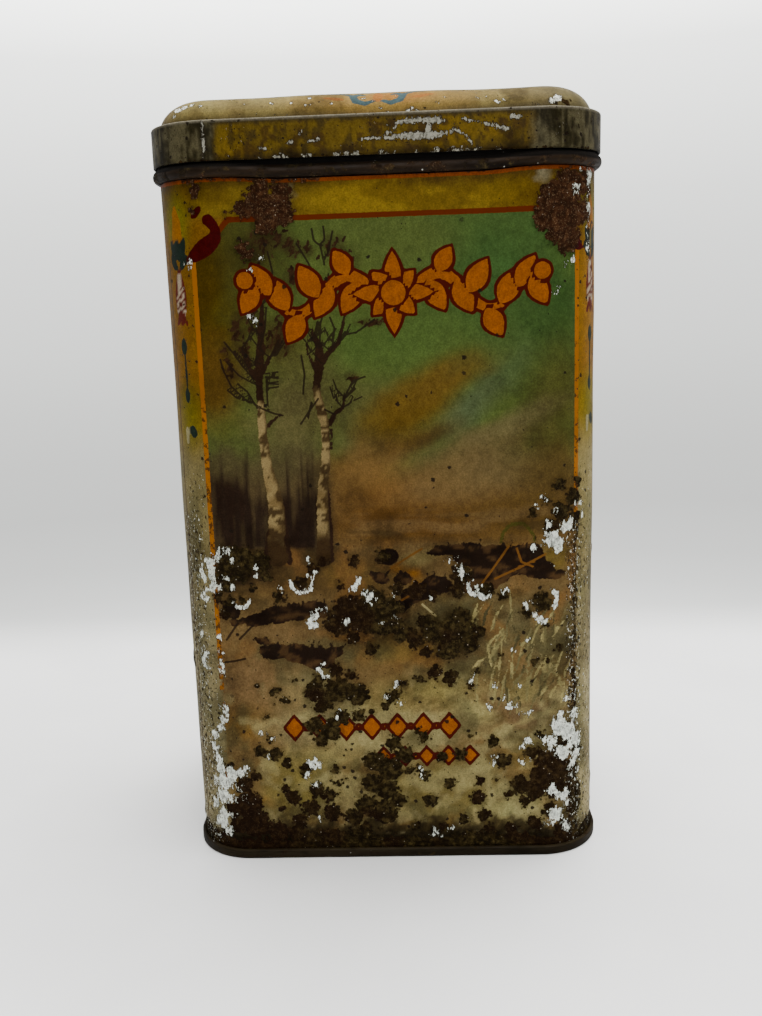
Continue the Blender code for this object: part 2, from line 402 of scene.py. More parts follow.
def paint_ground(canvas):
    """The ground below the horizon."""
    u, z = canvas.u, canvas.z
    level = np.zeros(u.shape)
    edge = 92.2 + 2.4 * (fractal(u, level, 7, 31) - 0.5)
    ground = smooth(0.9, -0.9, z - edge)
    soil = Canvas(u, z, (0.130, 0.080, 0.026))
    warp = fractal(u, z, 8, 32) - 0.5
    for colour, centre, half, strength, turn in GROUND_WASHES:
        soil.glow(colour, centre, half, strength, turn, warp)
    brush = fractal(u * 0.5 + z * 0.3, z * 1.3 - u * 0.45, 4.5, 33)
    soil.wash(GRASS_CREAM, 0.55 * smooth(0.56, 0.72, brush) * smooth(60, 40, z) * smooth(-34, -24, u))
    soil.wash((0.075, 0.050, 0.014), 0.6 * smooth(0.46, 0.30, brush) * smooth(-12, 2, u))
    for colour, strength, low, high, noise, start, full in (
        ((0.060, 0.036, 0.010), 0.65, 0.56, 0.74, fractal(u, z * 1.6, 5, 34), 60, 75),
        ((0.178, 0.084, 0.020), 0.60, 0.50, 0.70, fractal(u, z, 9, 37), 52, 62),
        ((0.056, 0.054, 0.020), 0.50, 0.52, 0.70, fractal(u, z, 7, 38), 84, 66),
        ((0.250, 0.212, 0.088), 0.55, 0.52, 0.68, fractal(u, z, 6, 39), 60, 48),
    ):
        soil.wash(colour, strength * smooth(low, high, noise) * smooth(start, full, z))
    soil.rgb *= (1 + 0.16 * smooth(62, 45, z))[:, None]
    soot_and_shade = z + 7 * (fractal(u, z, 6, 35) - 0.5) + 7 * (fractal(u, z, 1.7, 36) - 0.5)
    soil.wash((0.022, 0.014, 0.004), 0.9 * smooth(12.5, 8.5, soot_and_shade))
    canvas.rgb = canvas.rgb * (1 - ground[:, None]) + soil.rgb * ground[:, None]


# The birches: strokes (u, z, half width) for the trunks and limbs, and thin lines (u, z) for the twigs.
FIRST_TRUNK = (
    (-29.6, 89.5, 2.8), (-29.9, 92.5, 2.3), (-29.6, 98, 2.2), (-29.4, 103, 2.1), (-29.9, 108, 1.8),
    (-30.8, 112, 1.55), (-31.5, 117, 1.3), (-31.9, 123, 1.15), (-32.0, 131, 1.05),
)
SECOND_TRUNK = (
    (-17.2, 88.5, 2.1), (-17.2, 91, 1.8), (-16.9, 97, 1.65), (-16.8, 104, 1.5), (-16.2, 110, 1.35),
    (-15.4, 115, 1.2), (-15.1, 120, 1.1), (-15.2, 125, 1.15), (-16.2, 130, 1.25), (-17.1, 134.5, 1.0),
)
DARK_LIMBS = (
    ((-32.0, 130, 1.0), (-32.2, 136, 0.95), (-31.8, 142, 1.2), (-31.0, 149, 0.9), (-30.2, 157, 0.5)),
    ((-33.2, 138.5, 1.0), (-34.6, 141, 0.5), (-36.2, 146, 0.4)),
    ((-31.0, 140, 0.7), (-29.0, 143.4, 0.5)),
    ((-17.1, 134.5, 1.0), (-16.6, 138, 1.1), (-15.8, 142, 1.35), (-15.8, 145.6, 1.1), (-17.6, 150, 0.5)),
    ((-15.6, 141.6, 0.9), (-13.0, 144.6, 0.75), (-10.7, 146.8, 0.6), (-9.4, 151, 0.42), (-8.4, 156, 0.3)),
    ((-17.4, 140.8, 0.6), (-18.8, 144, 0.42), (-19.0, 147, 0.3)),
    ((-13.8, 125.6, 0.7), (-12.2, 128.4, 0.55), (-10.2, 129.8, 0.45), (-9.7, 132.6, 0.4)),
    ((-30.4, 125.4, 0.5), (-28.8, 127.0, 0.4), (-26.8, 128.4, 0.32)),
    ((-15.0, 88, 0.7), (-14.9, 98, 0.5), (-15.0, 108, 0.32)),
    ((-26.6, 88, 0.9), (-27.0, 96, 0.6), (-27.3, 103, 0.3)),
    ((-33.0, 87, 1.1), (-32.4, 93, 0.6), (-32.0, 97, 0.3)),
    ((-13.8, 119, 0.32), (-13.6, 124, 0.45)),
)
TWIGS = (
    ((-32, 130.2), (-29, 128.8), (-26.6, 128.2)),
    ((-32.4, 130.6), (-36, 132.6), (-39.6, 136.2), (-41.4, 140.4), (-42, 143)),
    ((-34, 131.4), (-38.4, 133.2), (-40.4, 135)),
    ((-33.2, 130.6), (-35.4, 134.6), (-37.6, 136.6)),
    ((-33.6, 138), (-36.4, 141.6), (-38.6, 145), (-40.6, 147.6)),
    ((-34, 137), (-37.4, 139), (-40, 142)),
    ((-31.4, 146), (-29.8, 151), (-29.2, 156)),
    ((-30.2, 131), (-30.2, 137.5), (-28.2, 139)),
    ((-9.7, 132.4), (-12, 134.9)),
    ((-9.8, 132.0), (-7.0, 134.4)),
    ((-9.2, 133.4), (-7.4, 136.6), (-4.4, 137.6)),
    ((-14.8, 129.2), (-12.8, 128.2)),
    ((-16.9, 132), (-18.8, 129.6), (-21.4, 126)),
    ((-18.6, 131), (-19.6, 127.4)),
    ((-10.2, 148.6), (-6, 149.2), (-1.4, 152.2)),
    ((-12.4, 145.6), (-11.6, 150.4), (-12.6, 153)),
    ((-15.6, 147), (-15.2, 152), (-13, 158), (-12.6, 164)),
    ((-16.4, 175.4), (-16.0, 172.8), (-14.6, 171.6), (-13.2, 172.8), (-13.4, 175.8)),
    ((-14.4, 171.6), (-13.6, 167)),
    ((-11.2, 174.6), (-12.2, 170.4), (-13.4, 168)),
    ((-20.4, 172), (-17.0, 166)),
    ((-20.6, 143.4), (-20.0, 138.6), (-20.6, 134)),
    ((-29.6, 158), (-27, 165), (-28, 170)),
)
# Clumps of leaves: centre (u, z), half size, number of leaves, lean in degrees.
LEAF_CLUMPS = (
    (-37.6, 150.5, 1.4, 3.4, 16, 8), (-35.6, 146, 1.6, 3.2, 12, 20), (-33.2, 152.6, 2.6, 3.4, 18, 0),
    (-39.4, 140, 1.8, 2.6, 10, 30), (-26.6, 149.6, 2.6, 4.6, 30, -20), (-23.8, 149.0, 2.6, 3.6, 22, -24),
    (-28.4, 146.2, 2.4, 2.4, 12, -30), (-29.6, 172.4, 2.6, 3.4, 22, 16), (-24.6, 173.0, 2.4, 2.8, 16, -35),
    (-21.4, 171.0, 2.0, 1.8, 12, -50), (-8.0, 165.6, 2.2, 4.6, 34, -10), (-11.4, 171.0, 2.2, 2.4, 12, 20),
    (-2.4, 151.6, 3.0, 0.9, 14, -70), (-7.2, 137.8, 1.6, 1.0, 8, -50), (-21.8, 163.5, 2.4, 3.4, 16, 15),
    (-17.4, 170.2, 1.6, 1.8, 6, 10), (-35.0, 142.5, 1.2, 2.4, 10, 24), (-40.6, 145.4, 1.2, 2.0, 6, 30),
)


def near_stroke(u, z, points, middle, reach_u, reach_z):
    """The distance to a short stroke, worked out only within reach of its middle."""
    near = (np.abs(u - middle[0]) < reach_u) & (np.abs(z - middle[1]) < reach_z)
    gap = np.full(u.shape, 1e2)
    gap[near] = stroke(u[near], z[near], points)
    return gap


def draw_birches(ink, lines, canvas):
    """Two birches with dark limbs, clumps of leaves and bare twigs."""
    u, z = ink.u, ink.z
    rng = np.random.default_rng(SEED + 4)
    for clump_u, clump_z, half_u, half_z, count, lean in LEAF_CLUMPS:
        canvas.glow(LEAF_BROWN, (clump_u, clump_z), (half_u * 1.3, half_z * 1.2), 0.55, 0,
                    1.3 * (fractal(u, z, 2.2, 41) - 0.5))
        for _ in range(count):
            angle = math.radians(90 + lean + rng.normal(0, 26))
            middle_u = clump_u + half_u * 0.75 * rng.normal(0, 0.7)
            middle_z = clump_z + half_z * 0.75 * rng.normal(0, 0.7)
            reach_u, reach_z = 0.8 * math.cos(angle), 0.8 * math.sin(angle)
            blade = [
                (middle_u - reach_u, middle_z - reach_z, 0.18), (middle_u, middle_z, rng.uniform(0.28, 0.45)),
                (middle_u + reach_u, middle_z + reach_z, 0.12),
            ]
            shade = rng.uniform(0.6, 1.5)
            ink.add(near_stroke(u, z, blade, blade[1], 4, 4), [shade * c for c in LEAF_BROWN])
    for limb in DARK_LIMBS:
        ink.add(stroke(u, z, limb), BARK_DARK)
    for trunk in (FIRST_TRUNK, SECOND_TRUNK):
        gap = stroke(u, z, trunk)
        middles, heights, widths = zip(*trunk)
        across = (u - np.interp(z, heights, middles)) / np.interp(z, heights, widths)
        shade = smooth(0.35, 0.85, across + 0.9 * (fractal(u, z, 2.0, 42) - 0.5))
        marks = 0.92 * smooth(0.55, 0.59, fractal(u * 0.7, z * 1.5, 1.8, 43))
        foot = smooth(98.5, 92.5, z + 6 * (fractal(u, z, 3, 44) - 0.5))
        dark = np.maximum(np.maximum(marks, 0.75 * shade), foot)[:, None]
        brown = smooth(0.42, 0.66, fractal(u, z, 3.6, 45))[:, None] * smooth(118, 104, z)[:, None]
        colour = np.array(BARK_CREAM) * (1 - 0.6 * brown) + np.array(BARK_BROWN) * 0.6 * brown
        ink.add(gap, colour * (1 - dark) + np.array((0.036, 0.019, 0.006)) * dark)
    for twig in TWIGS:
        lines.add(twig, 0.25)
    for limb in DARK_LIMBS[:7]:
        for _ in range(6):
            k = rng.integers(1, len(limb))
            start_u, start_z, _ = limb[k]
            out = rng.choice([-1, 1]) * rng.uniform(1.0, 2.6)
            rise = rng.uniform(0.6, 2.6)
            bend = (start_u + out, start_z + rise)
            tip = (bend[0] + out * rng.uniform(0.2, 1.0), bend[1] + rng.uniform(1.0, 3.0))
            lines.add([(start_u, start_z), bend, tip], 0.2)
    for rung in range(4):
        lines.add([(-30.0, 135.4 + 1.3 * rung), (-27.4, 135.7 + 1.3 * rung)], 0.2)


# Brush heaps of the middle distance: blots (u, z, half sizes, turn in degrees).
HEAPS = (
    ((-40.6, 71.4, 3.0, 0.8, 12), (-36, 71.6, 4, 1.6, 6), (-31, 73.0, 4.6, 2.4, 6), (-25.5, 73.6, 5, 2.6, 4),
     (-20.4, 74.2, 4.6, 2.4, 0), (-43.6, 74.6, 2.6, 1.6, -30)),
    ((-35.2, 65.6, 3.6, 0.9, -8), (-31.6, 62.4, 4.4, 2.4, 0), (-25.6, 61.4, 5.4, 2.9, -10),
     (-20, 60.2, 4.6, 3.2, -14), (-15.4, 61.6, 3.2, 1.8, 20)),
    ((18, 90.4, 7.5, 1.5, 6), (24.4, 88.4, 6.4, 3.4, 0), (30.4, 86.6, 6.6, 4.6, -8), (37, 87.2, 6.4, 4.4, 0),
     (26, 81.6, 7.6, 3.2, 10), (41.4, 84.4, 4.6, 3.0, -20), (46.4, 82.6, 2.6, 1.0, 10)),
    ((8.6, 78.2, 5.4, 2.4, 18), (3.2, 74.6, 4.2, 1.9, 12), (13.4, 80.4, 4.4, 2.6, 0),
     (-2.6, 72.6, 4.4, 1.2, 14)),
    ((0.4, 88.6, 2.7, 2.4, 0), (-1.8, 82.8, 2.6, 1.7, -20), (4.4, 82.4, 2.6, 1.6, 10)),
)
# Sticks among the brush: tone, then the points.
STICKS = (
    (0.35, (9.4, 90.6), (5.0, 88.0), (1.4, 85.6)),
    (0.35, (29.6, 82.0), (36, 84.8), (43, 88.4)),
    (0.35, (33, 90.6), (28.8, 84.6), (26, 80.8)),
    (0.35, (35.4, 90), (36.6, 86.4), (39.4, 85.2)),
    (0.9, (9.6, 74.8), (12.8, 71.8)),
    (0.35, (4, 76.4), (8.6, 79.2)),
    (0.0, (-46, 59.4), (-40.6, 60.4)),
    (0.0, (-42, 70.6), (-45.2, 66.2)),
    (0.0, (-38, 69.8), (-41.4, 66.4)),
)


def draw_brush(ink, lines):
    """Dark heaps of brush with dry tips, a few pale sticks, and tufts of grass."""
    u, z = ink.u, ink.z
    wobble = 1.5 * (fractal(u, z, 2.4, 51) - 0.5)
    rng = np.random.default_rng(SEED + 5)
    tint = smooth(0.48, 0.70, fractal(u * 0.6 - z * 0.5, z * 1.2 + u * 0.25, 2.2, 52))[:, None]
    colour = np.array((0.014, 0.007, 0.0035)) * (1 - tint) + np.array((0.062, 0.031, 0.010)) * tint
    for heap in HEAPS:
        for blot_u, blot_z, half_u, half_z, turn in heap:
            ink.add(blot(u, z, blot_u, blot_z, half_u, half_z, turn) + wobble, colour)
            for _ in range(3):
                start_u = blot_u + rng.uniform(-0.8, 0.8) * half_u
                start_z = blot_z + 0.3 * half_z
                tip = (start_u + rng.uniform(-2.4, 2.4), start_z + half_z * rng.uniform(0.8, 1.3))
                ink.add(stroke(u, z, [(start_u, start_z, 0.4), (*tip, 0.16)]), (0.016, 0.009, 0.004))
    for tone, *stick in STICKS:
        lines.add(stick, 0.3, tone)
    bent_twig = np.abs(np.hypot(u - 35.6, (z - 91.4) * 0.8) - 4.6) - 0.36
    ink.add(np.where(z < 91.8, FAR, bent_twig), (0.052, 0.048, 0.006))
    for _ in range(90):
        root_u, root_z = rng.uniform(22, 48), rng.uniform(42, 70)
        lean, height = rng.normal(1.4, 2.2), rng.uniform(3, 9.5)
        width = rng.uniform(0.26, 0.50)
        tone = rng.choice([0.25, 0.5, 0.8, 1.0, 1.25])
        blade = [
            (root_u, root_z, 0.15), (root_u + 0.35 * lean, root_z + 0.5 * height, width),
            (root_u + lean, root_z + height, 0.08),
        ]
        ink.add(near_stroke(u, z, blade, blade[0], 12, 14), [tone * c for c in GRASS_CREAM])


def draw_garland(ink, middle=4.0, height=159.0):
    """A bold leaf scroll across the sky: a wavy stem, paired leaves and a rosette."""
    u, z = ink.u, ink.z
    for side in (-1, 1):
        stem = []
        for step in range(37):
            t = step / 36
            wave = 4.6 * math.sin(2.4 * math.pi * t)
            stem.append((middle + side * (5 + 32 * t), height + wave, 2.5 - t))
        ink.add(stroke(u, z, stem), ORANGE, 1.0)
        for step, rise, length, width in (
            (4, -1, 10.5, 3.5), (7, 1, 8.5, 3.2), (12, -1, 10.5, 3.5), (16, 1, 11.0, 3.6), (21, -1, 9.5, 3.5),
            (25, 1, 11.5, 3.7), (30, 1, 10.5, 3.4), (34, -1, 9.5, 3.4),
        ):
            base_u, base_z, _ = stem[step]
            tip = (base_u + side * 0.5 * length, base_z + rise * 0.86 * length)
            ink.add(leaf(u, z, (base_u, base_z), tip, width), ORANGE, 1.0)
        tip_u, tip_z, _ = stem[-1]
        ink.add(np.hypot(u - tip_u - side * 1.4, z - tip_z) - 3.0, ORANGE, 1.0)
    for petal in range(8):
        angle = math.radians(45 * petal)
        reach = 8.6 if petal % 2 else 11.6
        tip = (middle + reach * math.cos(angle), height + reach * math.sin(angle))
        ink.add(leaf(u, z, (middle, height), tip, 3.0), ORANGE, 1.0)
    ink.add(np.hypot(u - middle, z - height) - 4.0, ORANGE, 1.0)


def draw_lozenge_rows(ink):
    """Two rows of lozenges and dots near the foot of the picture."""
    u, z = ink.u, ink.z
    for start, row_z, pitch, count, half_u, half_z in (
        (-27.6, 39.6, 7.3, 7, 3.5, 4.3), (-2.6, 30.6, 6.1, 5, 2.9, 3.4),
    ):
        for place in range(count):
            centre = start + pitch * place
            gap = (np.abs(u - centre) / half_u + np.abs(z - row_z) / half_z - 1) * half_u * 0.78
            ink.add(gap, ORANGE, 1.0)
            if place < count - 1:
                ink.add(np.hypot(u - centre - pitch / 2, z - row_z) - 1.2, ORANGE, 1.0)


def draw_corner_scroll(ink, left, side):
    """The dark red comma in the border beside a cut corner, on the left (1) or the right (-1)."""
    u, z = (ink.u - left) * side, ink.z
    comma = [
        (4.7, 178.8, 1.5), (5.6, 178.0, 1.35), (6.4, 176.8, 1.2), (6.6, 175.4, 1.35), (6.2, 174.2, 1.7),
        (5.2, 173.2, 2.1), (3.8, 172.2, 2.3), (2.2, 171.2, 2.2), (0.6, 170.2, 1.8), (-0.8, 169.4, 1.2),
        (-2.0, 168.9, 0.4),
    ]
    ink.add(stroke(u, z, comma), DEEP_RED)
    ink.add(stroke(u, z, [(2.4, 181.6, 0.8), (1.2, 180.2, 0.9), (0.4, 179.6, 0.4)]), DEEP_RED)


def draw_strip_ornament(ink, canvas, centre):
    """Flame, leaf fan, lozenge and spear, one under the other down a corner of the tin."""
    u, z = ink.u - centre, ink.z
    canvas.glow((0.130, 0.120, 0.003), (centre, 178), (4.4, 7.0), 0.9)
    canvas.glow((0.128, 0.105, 0.002), (centre, 128), (3.8, 9), 0.8)
    flame = [(0, 175.0, 2.1), (0.2, 178.4, 1.7), (-0.2, 181, 1.1), (0, 183.4, 0.2)]
    ink.add(stroke(u, z, flame), (0.24, 0.090, 0.001))
    for base, tip, width in (
        ((0, 168.8), (0, 175.2), 1.2),
        ((-0.6, 169.4), (-2.9, 175.0), 1.35), ((0.6, 169.4), (2.9, 175.0), 1.35),
        ((-0.6, 166.6), (-3.5, 170.8), 1.1), ((0.6, 166.6), (3.5, 170.8), 1.1),
    ):
        ink.add(leaf(u, z, base, tip, width), LEAF_TEAL)
    ink.add(stroke(u, z, [(0, 169.6, 0.3), (0, 173.4, 0.25)]), (0.16, 0.11, 0.02))
    ink.add(leaf(u, z, (0, 153.4), (0, 167.4), 2.35), (0.085, 0.010, 0.004))
    for step in range(5):
        level = 155.8 + 2.1 * step
        spread = 1.6 - 0.25 * step
        for side in (-1, 1):
            feather = [(side * spread, level, 0.42), (side * 0.35, level + 1.2, 0.34)]
            ink.add(stroke(u, z, feather), WHITE_PAINT)
    for side in (-1, 0, 1):
        ink.add(stroke(u, z, [(side * 0.5, 155.6, 0.5), (side * 1.9, 152.8, 0.55)]), (0.085, 0.010, 0.004))
    ink.add(leaf(u, z, (0, 144.6), (0, 149.6), 1.25), LEAF_TEAL)
    ink.add(stroke(u, z, [(0, 145, 0.42), (0.1, 139, 0.5), (0, 134, 0.3)]), LEAF_TEAL)
    ink.add(leaf(u, z, (0, 135.8), (0, 131.4), 1.1), LEAF_TEAL)
    ink.add(stroke(u, z, [(1.2, 124.6, 1.25), (1.7, 123.6, 1.2)]), LEAF_TEAL)
    ink.add(stroke(u, z, [(-1.2, 124.6, 0.8), (-1.2, 121.2, 0.6)]), (0.24, 0.21, 0.10))


# ---------------------------------------------------------------- wear

# Rust and bare tin: round spots (u, z, radius) that noise makes ragged.
RUST = (
    (-30, 183, 4.2), (-25, 180.5, 4.4), (-28, 178, 3.6), (-34, 181, 2.6), (-24, 185, 3.2),
    (-29, 186.5, 2.6), (-46, 186, 1.9), (-47, 181, 1.3), (-34.6, 171.6, 2.0), (-33, 169.6, 1.9),
    (-38, 180, 1.0), (45, 181, 4.2), (50, 184, 4.6), (54.5, 185, 3.6), (44, 176.5, 3.9), (49, 177, 5),
    (49.5, 170.5, 3.6), (54.6, 178, 3.4), (45.6, 172.4, 2.8), (57, 183, 1.8), (53, 172, 1.6),
    (-43, 89, 4.4), (-39, 88.5, 4.0), (-35, 88, 3.6), (-40, 84.6, 2.6), (-47, 78, 1.8), (-37.4, 81, 1.2),
    (-46, 84.5, 2.4), (-44, 82, 2.6), (-44, 77, 2.2), (-45.4, 73.6, 1.8), (-40.5, 78, 1.5), (-30, 78, 1.9),
    (-23.6, 82, 2.0), (-33, 83.6, 1.8), (-20, 86, 1.8), (-17, 88, 1.6), (-11, 74, 4.4), (-7, 72, 5.0),
    (-14, 70.5, 4.0), (-4, 77, 3.4), (-2, 70.4, 4.0), (-10, 66, 2.4), (0.6, 74, 3.6), (2, 69, 2.4),
    (-13, 81, 1.2), (-9, 87.6, 1.8), (-1, 88.5, 2.4), (2.8, 80, 2.4), (8, 79, 2.8), (12, 77, 2.0),
    (-21, 50.4, 3.6), (-15, 50.6, 4.0), (-9.4, 49.4, 3.6), (-19, 46.4, 3.0), (-20, 54, 2.0),
    (-22, 40.6, 3.0), (-17.4, 39, 3.6), (-20, 35.6, 2.4), (-14, 42.6, 2.6), (-9, 43, 2.2), (-5.8, 44, 1.6),
    (-15, 56.6, 2.2), (-11, 54.6, 2.0), (-37.4, 52, 1.1), (-32.4, 50.8, 1.7), (-30, 48, 1.5),
    (-27, 54, 1.1), (-35.5, 43, 1.1), (-33.6, 46.8, 0.8), (-37.4, 32.4, 2.1), (-33.4, 31.6, 2.3),
    (-30, 29, 1.8), (-35, 36.5, 1.5), (-25, 27, 2.3), (-17, 27, 1.4), (-16, 22.6, 1.2), (-14, 24, 0.8),
    (-31, 21, 1.9), (-29, 18.4, 2.6), (-22, 20.6, 2.4), (-18.4, 19, 2.4), (-24, 15, 3.0), (-18, 13.6, 2.8),
    (-32.5, 14.6, 1.3), (-27, 11, 2.4), (-43, 22.4, 2.8), (-42, 16.6, 4.2), (-40, 10.6, 4.8),
    (-34, 7.6, 3.6), (-45.6, 9.4, 2.6), (-39, 25.6, 1.8), (-5, 29.4, 3.6), (-1, 26.6, 4.0), (-6, 22.6, 3.4),
    (-2, 20.4, 3.4), (-8, 15.6, 3.4), (-3, 13.4, 4.0), (-12, 12, 3.0), (0.4, 34.6, 2.6), (1, 17, 2.6),
    (-9, 7.6, 3.0), (3.4, 31, 2.8), (4.4, 26, 1.6), (6, 9, 1.8), (13, 67, 4.0), (17, 66, 4.6),
    (20, 70.4, 3.4), (10, 70, 2.6), (16, 61.8, 3.4), (12, 55.4, 2.4), (16.6, 53.4, 2.5), (4, 66.5, 3.0),
    (7.4, 64.6, 2.5), (22, 63.4, 2.8), (24.2, 66.8, 2.4), (10.4, 61.4, 2.1), (-5, 62.4, 2.3),
    (8, 53.4, 1.5), (22.4, 51.6, 1.2), (24.4, 55.2, 0.9), (0.6, 49, 2.4), (3.4, 52, 1.6), (-1.6, 46, 1.6),
    (20, 83.6, 3.2), (19, 79, 2.6), (27, 79, 2.6), (31.6, 77, 1.2), (42, 75, 3.0), (38, 72, 1.8),
    (40, 58, 1.5), (30.4, 60, 1.0), (43, 68.6, 1.2), (47, 61.6, 1.4), (44, 58, 1.0), (47.6, 100, 3.0),
    (51.4, 103.6, 2.8), (47, 107.4, 2.0), (53, 108, 1.8), (43.4, 103, 1.3), (45, 96.6, 2.4),
    (39.6, 100, 1.3), (52, 98, 2.2), (28.2, 34.4, 2.0), (31, 29, 2.6), (22, 36.5, 0.8), (16.2, 22, 1.8),
    (24.4, 22.6, 1.6), (29, 23.6, 0.8), (10.2, 17, 2.2), (24, 17.6, 2.6), (36, 21.4, 3.0), (40, 19.4, 3.4),
    (43, 23.4, 3.6), (42.4, 28.4, 3.0), (47, 24.4, 3.2), (51, 20.4, 3.0), (44, 13.6, 2.2), (52, 13, 3.0),
    (48.4, 6.6, 3.4), (20, 11, 2.0), (25.6, 12, 2.0), (40, 9.6, 2.6), (41.6, 36, 1.8), (33, 8, 2.4),
    (9, 36, 2.0), (7, 38, 1.0), (14, 30.4, 1.6), (19, 31, 2.0), (46, 28.6, 4.2), (42, 23.6, 4.2),
    (50, 24.4, 3.8), (46, 19.4, 3.4), (52.4, 17.4, 3.0), (39.6, 31, 2.4), (37, 16.4, 2.2), (33, 18.4, 1.6),
    (48, 34, 2.4), (53, 30.4, 2.4), (-46.8, 27.4, 1.8), (-46.2, 14.4, 3.0), (8.6, 24.6, 1.8), (7, 27, 1.2),
    (-29, 7, 2.6), (-22, 6.6, 2.4), (14, 8.4, 2.0), (27, 7.4, 2.0),
)
BARE = (
    (-47.2, 89.4, 1.2), (-48.4, 86.6, 1.4), (-49.6, 84, 1.2), (-47.2, 81.5, 0.9), (-49.4, 82, 0.8),
    (-46, 91.6, 0.6), (-48.6, 88, 1.5), (-48.8, 84.4, 1.6), (-48.4, 80.2, 1.2), (-52, 77.6, 1.3),
    (-51.4, 79.6, 0.9), (-52.6, 75.4, 0.8), (-53.6, 66.4, 0.5), (-47.6, 66.8, 0.6), (-47.6, 63, 0.6),
    (-47.4, 58.4, 0.8), (-47.4, 56, 0.7), (-47.6, 45.4, 1.0), (-47.8, 42.4, 1.1), (-49, 39.4, 1.2),
    (-51.4, 36.4, 1.5), (-52, 33.2, 1.5), (-51, 30, 1.5), (-50, 27, 2.0), (-46.6, 26.4, 2.0),
    (-43.6, 26.2, 1.4), (-41.6, 27, 0.7), (-48.4, 23, 2.2), (-52.4, 22.4, 1.2), (-50, 18.4, 2.4),
    (-53, 15.6, 1.6), (-50.4, 13, 2.2), (-47, 18.4, 1.2), (-51, 9.6, 2.1), (-48.2, 7.6, 1.4),
    (-46.4, 12.4, 0.7), (-44, 21.4, 0.8), (-43, 18.4, 0.5), (-42, 89.5, 0.7), (-43.4, 91.6, 0.4),
    (-35.6, 86.4, 0.7), (-36, 84.2, 0.5), (-43, 81.4, 0.5), (-44.4, 83.8, 0.4), (-29.6, 80.4, 0.6),
    (-19.6, 85, 0.5), (-21.4, 88.4, 0.5), (-9.6, 80.4, 1.2), (-8.4, 82, 0.7), (-6, 78.6, 1.3),
    (-4.6, 76.8, 1.0), (-20.4, 72.6, 0.9), (-21.4, 69.6, 0.7), (-18, 74.2, 0.5), (-11.6, 70.4, 0.7),
    (-2, 70, 0.5), (-36.6, 38, 0.6), (-34, 36.4, 0.5), (-36, 31.2, 0.4), (-22, 28, 1.1), (-22.4, 29.4, 0.6),
    (-24.4, 25.4, 0.6), (-22, 22.4, 0.7), (-21.4, 12, 0.5), (-15, 44, 0.5), (-15.4, 42.6, 0.4),
    (-11, 16.6, 0.4), (-1.4, 48.2, 0.6), (45.4, 92, 2.6), (46.8, 90.2, 1.4), (49, 95.4, 1.4),
    (50.6, 96.4, 0.9), (44, 96.4, 1.0), (43.4, 93.4, 0.8), (40.4, 90, 0.8), (38, 74.6, 0.8),
    (41.4, 70.6, 1.1), (40.4, 71.6, 0.8), (43, 70, 0.5), (24.8, 79.8, 0.8), (27.8, 76.8, 0.8),
    (20, 84.8, 1.1), (20.4, 83, 0.9), (17, 87, 0.4), (18.8, 87.6, 0.4), (32.4, 78, 0.5), (11.6, 76.8, 0.4),
    (2, 77.8, 0.4), (46.8, 77, 0.5), (2, 71, 0.6), (22.6, 52.2, 0.7), (23.4, 53.4, 0.5), (1.6, 51.8, 0.8),
    (2.2, 52.6, 0.5), (2.8, 46.6, 0.5), (32.8, 44.8, 0.9), (34, 45.2, 0.6), (31.6, 47, 0.5),
    (27.2, 44.8, 0.5), (38.4, 43.2, 0.6), (36.4, 43.4, 0.4), (29, 51, 0.4), (36.4, 51, 0.5),
    (35.8, 48.6, 0.3), (34, 61.6, 0.5), (38.4, 64, 0.4), (38.2, 34.2, 0.8), (36.8, 33.2, 0.5),
    (28.6, 28.6, 0.9), (36, 28, 0.6), (37.8, 28.4, 0.5), (47, 38.6, 2.6), (50, 36.6, 3.0),
    (44.4, 33.4, 1.8), (43, 35, 1.2), (52.4, 33.4, 2.2), (48.4, 30.4, 2.2), (53, 28.6, 1.6), (52, 41, 1.4),
    (47.4, 42, 0.9), (49, 46.4, 0.7), (51, 26.4, 1.2), (53, 24, 0.7), (45, 19.6, 1.4), (48, 17.4, 1.6),
    (49.4, 14.8, 1.1), (46, 12, 2.2), (44.6, 9.2, 1.1), (48.6, 8.4, 0.9), (49.4, 6.8, 0.7), (43.6, 19, 0.5),
    (11, 6.8, 0.7), (10.8, 8, 0.4), (16.4, 8.2, 0.6), (13.6, 5.2, 0.3), (57.4, 185.6, 1.2),
    (58, 187.4, 0.9), (53.6, 188.4, 0.6), (51.6, 183.6, 0.9), (57, 178.8, 0.9), (56.4, 181.6, 0.5),
    (57, 169.4, 0.6), (51, 166, 0.7), (49, 165, 0.4), (46.2, 158.4, 0.5), (-49.6, 168, 0.7),
    (-48.4, 168.8, 0.5), (-33.4, 154.4, 0.6), (-32.4, 153, 0.5), (-29.8, 169, 0.5), (-33, 166, 0.4),
    (46.4, 99.8, 0.7), (40.6, 102, 0.5), (42.8, 103.6, 0.6), (55, 98.2, 0.9), (53.6, 101.6, 0.8),
)
# Bare rims round blisters: (u, z, radius, from degrees, to degrees), anticlockwise from the right.
RIMS = (
    (-40.5, 77.6, 2.3, 170, 370), (-23.6, 82, 2.9, 160, 420), (43, 75.6, 3.4, -60, 75),
    (-52, 59, 2.2, 60, 300), (-17.6, 56.6, 2.0, 90, 290), (-25, 27, 2.5, 0, 90), (27, 79, 2.4, 150, 320),
    (6.4, 25.4, 1.9, -60, 80), (24.4, 79.6, 2.2, 100, 300), (-48.8, 85.5, 3.6, 110, 250),
    (-22, 28.4, 1.0, -60, 300), (-20.6, 70.6, 1.1, 60, 330),
)
